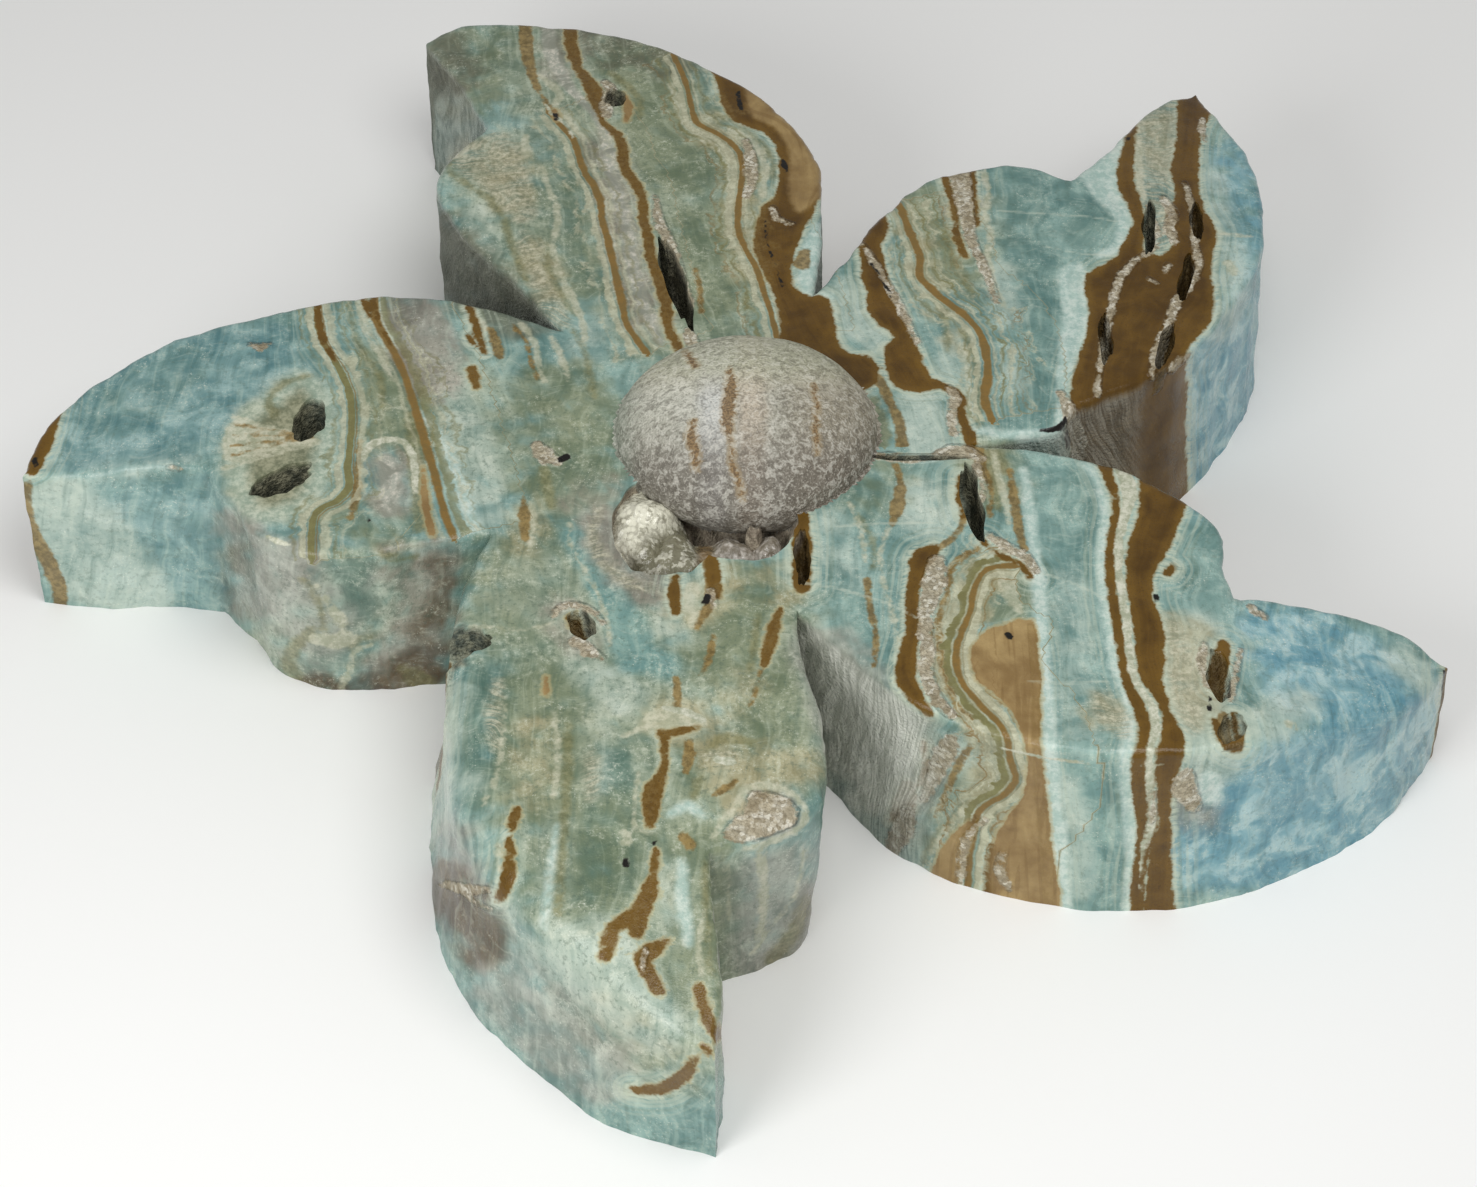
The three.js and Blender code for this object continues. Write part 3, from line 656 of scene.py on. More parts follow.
            [(17.7, -4.4, 0.8), (18.2, -7.4, 1), (17.8, -10.2, 1.7), (17, -13.4, 0.7)],
            [(21.5, -17.8, 0.8), (24.1, -14.9, 0.8), (25.2, -12.2, 0.8)],
            [(26.4, -17.2, 0.7), (23.4, -19.6, 0.7), (23, -23, 0.5), (21.9, -26.4, 0.6), (21.8, -33.5, 0.9),
             (22.7, -38.5, 0.8), (24.3, -41.6, 0.7), (26, -42.4, 0.5)],
            [(30.4, -5, 0.7), (30.7, -9, 1), (30.9, -13.2, 1.1), (31.4, -17.4, 1)],
            [(26.9, -1.6, 1.6), (27.4, -4.6, 1.2), (28.2, -8.4, 0.6), (27.9, -12, 0.7)],
            [(51.4, -41.6, 1.6), (51.6, -43.6, 1.6)],
            [(24.6, -45.6, 0.8), (23.2, -48, 0.9), (22, -51.4, 0.8), (20.4, -55.4, 0.6)],
        ],
        "cream": [
            [(12.4, -10.2, 0.5), (13.6, -14.7, 0.6), (14, -19.3, 0.5)],
            [(16.7, -13.6, 0.4), (15.6, -18.3, 0.5), (15.9, -22.3, 0.5), (16.7, -26.4, 0.5),
             (17.2, -32, 0.4)],
            [(29.4, -21.6, 2), (29.6, -24, 1.8), (30.6, -26.6, 0.8)],
            [(23.6, -54.2, 0.8), (21.4, -57.4, 0.8), (19.9, -60.4, 0.7)],
            [(28.8, -1.8, 0.6), (29.1, -5.6, 0.7), (29.8, -9.7, 0.8), (30, -13.2, 0.7)],
            [(58.4, -41.6, 1.3), (58.7, -41.9, 1.2)],
        ],
        "olive": [
            [(13.2, -12, 0.5), (14.8, -16, 0.6), (14.8, -20, 0.7)],
            [(22.4, -55.6, 0.9), (20.4, -58.4, 0.9), (19, -61.4, 0.8)], [(29.4, -2.2, 1.2), (29.9, -5.4, 1)],
            [(27.9, -2, 1.2), (28.2, -6, 1.1), (28.9, -11, 0.9)],
        ],
        "brown": [
            [(21.6, -17.2, 1.4), (20.4, -18.4, 2.6), (19.5, -21.3, 1.6), (18.9, -25.4, 1.3),
             (18.9, -29.4, 1.6), (18.1, -33.4, 1.9), (17.9, -36, 2.2), (18.9, -39, 1.6), (20.2, -41.4, 0.8)],
            [(31.6, -28.6, 0.5), (31.8, -36, 0.7), (31.4, -44, 0.6), (31.4, -52, 0.9), (31.6, -60, 0.9),
             (31.5, -68, 0.8)],
            [(26, -59, 0.5), (25.6, -62, 0.7), (25.4, -66, 0.8)],
            [(24.6, -55.4, 0.5), (22.9, -59, 0.6), (22.2, -64, 0.6)],
            [(26.8, -15.6, 0.5), (28.4, -18, 0.5), (31, -19.6, 0.6), (32, -21.6, 0.5)],
            [(24.8, -6, 0.5), (24.7, -9.4, 0.7), (25, -12.4, 0.5)],
            [(41, -3, 1.6), (41.6, -7, 1), (42, -10.6, 0.8), (41.2, -15.7, 1), (40.7, -21.8, 1),
             (40.9, -26.4, 1.1), (41.2, -31.4, 1.1), (41.7, -37.5, 1.2), (42.8, -41.6, 1.4),
             (42.8, -44.6, 1.4), (41.9, -48.7, 1.6), (41.9, -53.7, 1.6), (41.8, -58.8, 1.5),
             (40.9, -63.3, 1.4), (40.4, -69, 1.4)],
            [(47.6, -19.8, 0.9), (47.1, -20.8, 0.8)],
            [(52.4, -30.6, 1.3), (51.6, -33.5, 1.9), (51, -37, 1.7)],
            [(50.4, -42, 0.6), (51, -44.6, 1.4), (52.1, -46, 1.5), (52.9, -43.6, 0.8), (52.6, -41, 0.5)],
            [(78.4, -26, 1), (77.8, -29.6, 1), (77, -33, 0.8)], [(73, -47, 0.5), (71.8, -50, 0.6)],
            [(17.6, -51.4, 1.6), (17.2, -54, 2.2), (16, -56, 0.8)],
            [(19.4, -45.4, 0.7), (19.8, -48.6, 0.8), (19.2, -51, 0.7)],
        ],
        "druse": [
            [(21.8, -19.2, 2), (21.4, -22.3, 2.6), (20.6, -25.6, 1.8), (20.2, -28.4, 1.5), (20.3, -32.4, 1.6),
             (20.1, -36, 1.5), (21.2, -39.5, 1.4), (22.6, -41.6, 0.9)],
            [(27.2, -60.5, 0.8), (26.7, -62.4, 1), (27.6, -65, 0.6)],
            [(25.6, -55.8, 0.6), (23.6, -58.4, 0.9), (22.9, -62, 0.9), (22.7, -65.4, 0.8)],
            [(27.8, -15.2, 0.9), (29.8, -17.2, 1.3), (31.6, -18.4, 1.2), (32.6, -20.6, 0.8)],
            [(26.8, -4.4, 0.9), (27.4, -7.4, 0.6), (27.1, -10, 0.5)], [(43, -52, 0.7), (42.8, -56, 0.9)],
            [(47, -49.6, 1.4), (46.4, -51.4, 2.8), (47.2, -54, 1.8)],
            [(50.2, -31, 0.8), (49.7, -34.6, 1), (50.2, -37.4, 0.7)],
            [(54.2, -31, 0.5), (53.2, -35, 0.7), (52.4, -39, 0.6)], [(56, -24.6, 1.2), (57.2, -25.4, 1)],
            [(17.6, -54.6, 1.4), (17, -57.4, 2.6), (15.8, -60, 1.6)],
            [(22.6, -44.6, 1.6), (21.7, -46.7, 2.6), (20.8, -49.6, 1.8), (19.4, -53, 1.2)],
        ],
        "fawn patch": [
            [(31.8, -27.9), (29.6, -28.1), (27.8, -28.9), (25.8, -30.4), (25, -33.5), (25.5, -36.5),
             (27.8, -39), (28.8, -40.6), (29.8, -43.6), (30.3, -46.6), (30.1, -49.8), (29.4, -53.2),
             (27.8, -55.6), (26.4, -58.8), (25.8, -62.8), (26.2, -67), (32, -69), (32.2, -58.8), (32, -51.2),
             (31.8, -46.1), (32.2, -38.5), (32.4, -35.5), (32.2, -32.4)],
        ],
        "crack": [
            [(29, -30, 0.8), (29.3, -30.4, 0.8)], [(45.4, -24.2, 0.8), (45.5, -24.8, 0.6)],
            [(50.2, -38.6, 0.4), (50, -40.6, 0.6)], [(77.6, -27.4, 0.5), (77.2, -31, 0.5)],
        ],
        "fawn": [[(23.8, -57, 1.6), (22, -60.4, 2.6), (21, -64, 3)]],
        "pale": [
            [(32, -5, 0.8), (32.3, -10, 1.4), (32.5, -16, 1.2), (32.8, -23, 1.6), (32.8, -30, 1.4),
             (32.9, -37, 1.3), (32.9, -44, 1.4), (32.7, -52, 1.8), (33, -60, 1.8), (32.9, -68, 1.8)],
            [(39, -4, 1.2), (40.3, -8, 1), (40.6, -12, 1), (39.9, -17, 1), (39.8, -23, 1.1), (40, -29, 1.2),
             (40.4, -35, 1.2), (41.4, -40, 1.2), (40.6, -48, 1.3), (40.5, -56, 1.4), (40.2, -62, 1.3),
             (39.5, -68, 1.2)],
            [(49, -50.6, 2.6), (49.2, -52.6, 2.6)],
        ],
        "comb": [
            [(38.6, -39, 2.4), (39.8, -42, 3.6), (40.4, -44, 1.6)],
            [(46.6, -27, 1), (47.4, -32, 2.8), (47.4, -38, 3), (48, -43, 2.4)],
        ],
        "brown patch": [
            [(46, -2), (44.8, -7), (44.7, -10), (43.8, -13.6), (43, -16.6), (42.4, -20.8), (42.7, -28.4),
             (43, -36.5), (44.6, -40), (44.9, -43.1), (43.9, -46.6), (43.6, -51.2), (43.4, -56.3),
             (42.4, -60), (41.7, -64), (41.3, -69), (43.8, -69), (44.2, -63.9), (44.6, -57.8), (45, -52.7),
             (46.4, -48), (46.9, -44.6), (45.8, -41), (45.3, -37), (45.8, -32.4), (45.8, -28.4), (45, -24.8),
             (45.5, -20.8), (47.1, -17.8), (48.6, -13.7), (49.8, -10), (49, -5), (47, -1)],
        ],
        "bright": [
            [(41.8, -1.6, 1.2), (42.9, -4.6, 1.7), (43.6, -8.2, 1.8), (42.9, -12.2, 1.2), (42, -15.7, 1),
             (41.7, -20.8, 0.9), (42, -28.4, 0.9), (42.3, -36.5, 0.9), (43.8, -40, 1), (44.1, -43.1, 1),
             (43.2, -46.6, 0.9), (42.9, -51.2, 0.9), (42.7, -56.3, 1), (41.7, -59.8, 0.7),
             (41.1, -65.4, 0.5)],
            # painted highlight: a thin pale line along the crease, standing for the shine of the rounded
            # ridge
            [(25.6, -45.4, 0.14), (30, -46.9, 0.3), (35, -48, 0.3), (40, -48.4, 0.3), (44.8, -48.2, 0.14)],
        ],
        "hair": [
            [(33.1, -20.8, 0.4), (36.4, -22.3, 0.4), (40, -24.8, 0.35)],
            [(30.8, -36.8, 0.35), (35.4, -37, 0.45), (39.4, -36.7, 0.35)],
            [(7, -22.3, 0.4), (11.1, -23.3, 0.45), (16.2, -25.4, 0.4), (19.4, -27.6, 0.3)],
            [(10.6, -13.8, 0.35), (17, -13.3, 0.45), (22, -13.2, 0.35)],
        ],
    },
    "D": {
        "brown": [
            [(-31.3, -30, 0.3), (-31.7, -40, 0.6), (-31.7, -48, 0.5)],
            [(7, -12, 1.5), (7.1, -17, 2), (7, -22.8, 1.9)], [(-17.8, -27.4, 1.5), (-17.1, -28.8, 1.7)],
            [(-8.2, -44, 0.8), (-6.4, -43.9, 1), (-4.2, -43.3, 0.6)],
            [(-7.7, -44.4, 0.9), (-7.7, -47, 0.7), (-7.8, -49.6, 0.8), (-8.7, -51.4, 1.8), (-9, -53.6, 2),
             (-9, -55.9, 1)],
            [(-8.4, -59, 0.5), (-8.6, -61, 0.8), (-9.1, -64.2, 1.5), (-10.2, -66.4, 1.6), (-12.6, -68.4, 1.4),
             (-13.4, -71.6, 1.4)],
            [(-9.6, -66, 1.2), (-10.3, -68.6, 1.5)],
            [(-7.3, -69.4, 0.7), (-8.6, -70.4, 1.6), (-9.6, -71.4, 1.8), (-8.9, -73.4, 1.6),
             (-8, -74.8, 1.4)],
            [(-22.8, -54.3, 0.6), (-23.1, -56.2, 0.9), (-23.6, -58, 0.5), (-23.3, -61, 1.1),
             (-23.6, -64, 1.3), (-24.2, -66.2, 0.8)],
            [(-6.8, -21.6, 0.9), (-6.9, -24.2, 1.3), (-6.8, -26.6, 0.9)],
            [(-3.1, -13.6, 1), (-3.1, -18, 1.3), (-2.6, -22, 1.5), (-2.3, -24.4, 1)],
            [(4.6, -26.4, 0.6), (3.9, -28.6, 1.3), (3.4, -31.6, 1.3), (2.7, -34.4, 0.7)],
            [(-4, -74.4, 1), (-3.1, -77.4, 1.1), (-1.8, -80, 0.9)], [(-3.4, -80.6, 0.6), (-3, -81.4, 0.8)],
            [(-4.4, -82.4, 0.6), (-5.2, -84.4, 1.3), (-7.6, -86.8, 1.2), (-10.4, -87.4, 0.8)],
        ],
        "comb": [
            [(-15.4, -11, 0.8), (-16, -15, 1.4), (-14.6, -19.4, 1.7), (-11.8, -22.4, 1.5),
             (-8.6, -23.4, 0.9)],
            [(-25.6, -37, 1.4), (-25.8, -41.8, 2), (-25.4, -46, 1.2)],
            [(-15.4, -47, 1), (-15.2, -50, 1.8), (-15.4, -53, 1)], [(-3, -47, 1.6), (-1.2, -47.6, 2.4)],
        ],
        "crack": [
            [(-30.8, -32.4, 1), (-29, -31, 1.6), (-27, -30.4, 0.8)],
            [(-11.4, -60.4, 0.7), (-11.5, -60.9, 0.7)], [(-8.5, -57.8, 0.6), (-8.7, -58.3, 0.6)],
            [(-24.8, -59.5, 0.7), (-24.9, -60, 0.7)], [(-3.6, -25.3, 0.9), (-3.2, -24.2, 0.6)],
        ],
        "cream": [
            [(-18.6, -13.4, 0.3), (-18.3, -17, 0.4), (-17, -20, 0.5), (-15.2, -24.4, 0.5), (-14.2, -28, 0.5),
             (-13.7, -31.6, 0.4)],
            [(-24.6, -40, 0.4), (-24.8, -46, 0.5), (-25.4, -51, 0.6), (-26.6, -54, 0.6)],
            [(6.9, -58.8, 0.3), (5.7, -65.6, 0.35), (3.6, -68.8, 0.35), (1.3, -72.8, 0.35)],
            [(2.4, -60, 1.2), (2.6, -66, 1), (2.2, -71, 0.8)], [(-1.2, -60, 0.4), (-1, -68, 0.5)],
            [(-29, -28.6, 0.4), (-26.6, -29, 0.5), (-22.6, -29.2, 0.4), (-20, -28.2, 0.6)],
            [(-19.4, -41, 0.7), (-18.9, -47, 0.6), (-19.1, -53, 0.6)],
            [(-10.4, -49.6, 0.4), (-10.7, -53, 0.5), (-10.4, -56.6, 0.5), (-8.4, -57.2, 0.4)],
            [(-9.6, -42, 1), (-7.4, -41.6, 2.8), (-5.2, -42.6, 1.6)],
            [(-12.4, -44.6, 0.5), (-10, -43.4, 0.8), (-7, -42.8, 0.9), (-3.4, -42.8, 0.7)],
            [(-11.9, -57, 0.7), (-11.2, -57.2, 0.7), (-11.3, -58.3, 0.7), (-11.9, -58.4, 0.7)],
            [(-2.4, -57.4, 0.8), (-1.6, -55.4, 0.7), (0, -53.6, 0.7), (0.8, -51.4, 0.9), (3.4, -51.2, 0.7),
             (6, -52.4, 0.8), (7, -54.4, 0.8), (6.4, -56.6, 0.7), (3.6, -58, 0.7), (0.8, -59, 0.7)],
            [(-24.4, -58, 0.5), (-24.5, -60.4, 0.9), (-24.3, -62.4, 0.5)],
            [(-5, -23, 1.6), (-5, -26, 1.8), (-4.8, -28.4, 1)],
            [(-3.4, -66, 0.5), (-4, -70, 0.6), (-3.6, -73, 0.5)],
        ],
        "druse": [
            [(-30.4, -64.4, 0.3), (-28, -65.4, 0.5), (-26.6, -66.8, 0.5), (-24.8, -67.6, 0.4)],
            [(-20.2, -27.4, 0.5), (-19.2, -26, 1), (-17.4, -25.6, 0.8), (-15.6, -26.6, 0.7),
             (-14.6, -28.4, 0.6)],
            [(-17.4, -31, 1.6), (-16, -32.4, 1.6), (-14.6, -33.4, 0.9)],
            [(-9.4, -70.6, 0.6), (-9.7, -72.6, 0.6)],
            [(-29.6, -64.4, 1), (-27.4, -65.2, 1.4), (-25.6, -65, 0.8)],
            [(-2.9, -23.6, 0.9), (-2.6, -25.6, 0.8)],
        ],
        "olive": [
            [(7, -66, 1), (5.6, -70.4, 1.6), (3.4, -73.4, 1.8)],
            [(-3.4, -60.4, 0.5), (-3.2, -67, 0.7), (-2.8, -73, 0.5)],
            [(-17.9, -43, 0.8), (-17.8, -49, 1), (-17.9, -55, 0.9), (-18.1, -61, 0.8), (-18.2, -67, 1)],
            [(-4, -50, 0.8), (-4.6, -52.4, 1)], [(-3.2, -46.2, 0.8), (-1, -44.6, 1.4), (1.4, -45.4, 0.7)],
            [(2.2, -27, 0.7), (1.8, -31, 0.9), (1.4, -35, 0.6)],
        ],
        "fawn": [[(-20.5, -36, 0.3), (-20.4, -38.4, 0.6)]],
        "pale": [
            [(-18.6, -56.4, 0.5), (-19.2, -62, 0.9), (-19.6, -69, 0.8)],
            [(-5.8, -60.4, 1), (-5.6, -65, 1.5), (-5, -69.6, 1)],
            [(-7, -54.6, 0.8), (-5.2, -53.6, 1.4), (-3.6, -54.8, 0.8)],
        ],
        "gold": [
            [(-5.2, -45.4, 1), (-5.1, -46.8, 1.3), (-5.4, -49.2, 0.8)],
            [(-5.6, -57.4, 1.1), (-4.9, -58.4, 1.3)],
            [(-2.6, -52.4, 0.5), (-1.2, -51.4, 1), (-0.2, -50.4, 0.4)],
            [(-3.4, -19, 1.2), (-2.9, -22, 1.4), (-3, -25, 1.2), (-4.4, -29, 0.7)],
            [(2.5, -35, 0.5), (1.9, -38, 0.4), (1.3, -40.6, 0.4)],
            [(-2.6, -30, 0.7), (-3.2, -33.9, 0.8), (-3.9, -36, 0.6)],
            [(-6.5, -36.2, 0.7), (-6.4, -40.4, 0.9)],
        ],
        "druse patch": [
            [(-1.8, -57.2), (-0.9, -55.9), (0.7, -54.1), (1.3, -51.9), (3.2, -52), (5.4, -53), (6.3, -54.2),
             (6, -55.9), (3.4, -57.2), (0.7, -58.1)],
        ],
        "bright": [
            [(-2.2, -47.6, 1), (-0.8, -48, 1.2)], [(-7.8, -40.4, 0.6), (-5, -41.2, 1), (-3.6, -42.4, 0.6)],
            [(-23.6, 58.6, 0.3), (-22.8, 56.6, 0.5), (-21, 54.6, 0.4), (-20, 51.6, 0.3)],
        ],
    },
    "E": {
        "brown": [
            [(-77.6, 7.4, 0.8), (-78.6, 4, 2.2), (-79.2, 0.6, 2.4), (-79.6, -2.4, 1.4)],
            [(-49.2, 23, 0.7), (-48.5, 18.4, 0.8), (-47.8, 15.6, 0.7), (-46.2, 12.6, 0.4)],
            [(-43.8, 23.6, 0.7), (-43, 21.6, 0.9), (-42.8, 20, 0.5)],
            [(-42.6, 23.6, 0.6), (-41.6, 18.9, 0.4), (-39.8, 14.6, 0.3)],
            [(-31.9, 24.4, 0.6), (-30.9, 20.4, 0.8), (-30, 17, 0.9), (-29.2, 14, 0.6)],
            [(-30.6, 11.4, 1), (-30.1, 9.8, 1.3), (-29.8, 8.4, 0.8)], [(-31.2, 17, 0.6), (-30.6, 15.6, 0.6)],
        ],
        "gold": [
            [(-80, -4.4, 1.1), (-79.5, -8.5, 1.2), (-78.2, -12.5, 1.5), (-76.2, -16.6, 1.8),
             (-74.4, -21.1, 1.6), (-73.8, -26.7, 1.3)],
            *[[(-48, 0.2, 0.3), (-57, -0.2 + rise, 0.42)] for rise in (2.7, 1, -0.7, -2.2)],
            [(-42.6, -0.4, 0.7), (-42.5, -4.4, 0.8), (-42.5, -9, 1), (-42.9, -12.5, 0.7)],
            [(-28.6, 18, 0.8), (-27.7, 14.6, 1.3), (-27.4, 13.4, 0.8)],
        ],
        "crack": [[(-79.6, -0.8, 0.8), (-79.3, -1.6, 0.6)], [(-41, -12.6, 0.4), (-40.9, -12.9, 0.4)]],
        "halo patch": [
            [(-50.4, 10.6), (-53.6, 6.9), (-56.4, 4.4), (-57.4, 0.6), (-57, -4.4), (-56, -9.5),
             (-53.6, -12.6), (-49.6, -12.2), (-46.8, -9.5), (-45.6, -4.4), (-45.8, 2.7), (-47.3, 8)],
        ],
        "cream": [
            *[[(-46.8, -0.6, 0.25),
             (-57.5, -0.6 + rise, 0.7)] for rise in (4.4, 3, 1.8, 0.6, -0.8, -2.2, -3.8)],
            [(-44.4, 23, 0.6), (-43.5, 19, 0.8), (-42.4, 16, 0.8), (-40.9, 13, 0.8), (-39.6, 9.6, 0.6)],
            [(-32.4, 23.4, 0.7), (-30.6, 20.6, 0.8), (-29.4, 17.9, 0.6)],
            [(-46.8, -21.4, 0.4), (-45.2, -23.8, 0.6), (-44.2, -25.8, 1), (-43.2, -27.6, 1.6),
             (-42.4, -29, 0.8)],
            [(-45.4, -30.6, 1.6), (-43, -31, 2.2), (-41.6, -30.6, 1.6)],
            [(-39.6, -31.4, 0.6), (-41, -32.4, 0.7), (-41.5, -35, 0.7), (-42.1, -37.5, 0.8)],
        ],
        "cream patch": [
            [(-47.2, -0.4), (-50, 0.8), (-54, 2.2), (-57.4, 3), (-58.2, 0), (-57.2, -3.4), (-52, -1.8)],
        ],
        "olive": [
            [(-52.6, 3.4, 0.8), (-53.4, 6.6, 1), (-51.4, 9.4, 1), (-49, 10.2, 0.6)],
            [(-45.5, 23, 0.8), (-44.7, 18.9, 0.8), (-44, 15.8, 0.8), (-42.5, 12.8, 1), (-41, 9.8, 0.8),
             (-40.4, 5, 0.8)],
            [(-37.4, 4, 1), (-36.4, -1, 1.8), (-35.6, -7, 2.2), (-34.8, -13.6, 2.2)],
            [(-36.2, -0.4, 0.8), (-35.7, -4.4, 1), (-35.2, -9.5, 1.2), (-35.3, -14.4, 1.1)],
            [(-39.4, -17.4, 0.6), (-37.6, -18.6, 1.2), (-35.4, -18.4, 0.6)],
            [(-47.6, -21.7, 0.6), (-46.2, -23.9, 0.8), (-45.4, -25.6, 0.8), (-44.8, -27.8, 0.9),
             (-44.4, -29.3, 0.7)],
            [(-46.2, -29.4, 1.4), (-47.1, -31.1, 1.8), (-48.2, -33.6, 1.6), (-47.3, -36.1, 1.8)],
            [(-48.8, -34.4, 0.8), (-47.8, -35.8, 1.2), (-46.8, -37, 0.8)],
            [(-39.4, -30.2, 0.6), (-40.9, -30.7, 1), (-41.5, -31.8, 0.5)],
            [(-36, -34.6, 1), (-34.4, -36, 2.4), (-33.4, -37.6, 2.6)],
        ],
        "fawn": [[(-35.2, -4.4, 0.3), (-35, -8, 0.7), (-34.4, -12, 0.9), (-33.8, -15, 0.8)]],
        "pale": [
            [(-36.4, 4.4, 0.7), (-34.4, 1.7, 1), (-33.2, -0.4, 1.2), (-31.8, -4.9, 1.5), (-30.3, -9.5, 1.5),
             (-29.2, -14, 1.5)],
        ],
        "bright": [
            [(-42.1, -3.6, 0.7), (-41.5, -1.1, 0.9), (-39.9, -0.2, 0.9), (-37.9, -0.5, 0.8),
             (-36.6, -2.4, 0.8), (-36.2, -5, 0.8), (-36, -8.6, 0.6)],
            # painted highlight along the top edge of the wall of E's lobe
            [(-52, -15.2, 0.4), (-50.6, -16.2, 0.8), (-49.4, -16.6, 0.5)],
        ],
        "chalk": [[(-39.6, -3, 1.4), (-39, -5.6, 2.6), (-38.8, -8, 2.2), (-38.8, -11.6, 1.6)]],
        "druse": [
            [(-56.2, 15.2, 0.8), (-55.2, 14.9, 1.2), (-54, 15.4, 0.6)],
            [(-63.8, -3.7, 0.7), (-62.8, -4.2, 0.6)],
        ],
    },
}

# Fine layers that run beside a line: colour, middle to the right of the line, half width, strength.
LANES = {
    "a_line": (A_LINE, [
        ("gold", 0, 0.46, 1), ("cream", -1.15, 0.3, 0.6), ("olive", -2, 0.3, 0.5), ("cream", -3.3, 0.3, 0.4),
        ("cream", 1.1, 0.4, 0.8), ("cream", 2.7, 0.3, 0.6),
    ]),
    "a_tan": (A_TAN, [
        ("gold", 0, 0.4, 1), ("cream", 1, 0.42, 0.8), ("olive", 2, 0.32, 0.8), ("cream", -0.85, 0.25, 0.6),
        ("olive", -1.7, 0.3, 0.6), ("cream", -2.9, 0.25, 0.45), ("gold", 3, 0.16, 0.5),
    ]),
    "b_tan": (B_TAN, [
        ("gold", 0, 0.5, 1), ("cream", 1.15, 0.35, 0.8), ("olive", 2, 0.2, 0.6), ("cream", 2.9, 0.3, 0.6),
        ("cream", -1, 0.22, 0.7), ("olive", -1.75, 0.25, 0.8), ("cream", -2.6, 0.32, 0.8),
        ("olive", -3.6, 0.2, 0.7), ("gold", -4.6, 0.14, 0.6), ("cream", -5.3, 0.3, 0.6),
    ]),
    "c_swirl": (C_SWIRL, [
        ("gold", 0.1, 0.4, 1), ("cream", -0.95, 0.4, 0.9), ("gold", -1.75, 0.22, 0.8),
        ("cream", -2.5, 0.3, 0.7), ("olive", 1.1, 0.45, 1), ("cream", 2.1, 0.3, 0.8),
        ("gold", 2.9, 0.24, 0.8), ("cream", 3.6, 0.25, 0.5),
    ]),
    "e_line": (E_LINE, [
        ("olive", 0.2, 0.5, 1), ("gold", -0.35, 0.12, 0.8), ("cream", 1.1, 0.38, 0.8),
        ("olive", 2.1, 0.2, 0.6), ("cream", -1.2, 0.45, 0.7), ("olive", -2.3, 0.2, 0.5),
        ("cream", -3.1, 0.2, 0.4),
    ]),
    "e_brown": (E_BROWN, [
        ("gold", 0, 0.46, 1), ("cream", 1.15, 0.25, 0.5), ("olive", -1.3, 0.5, 0.7),
        ("cream", -2.4, 0.3, 0.6), ("olive", -3.3, 0.3, 0.5),
    ]),
}

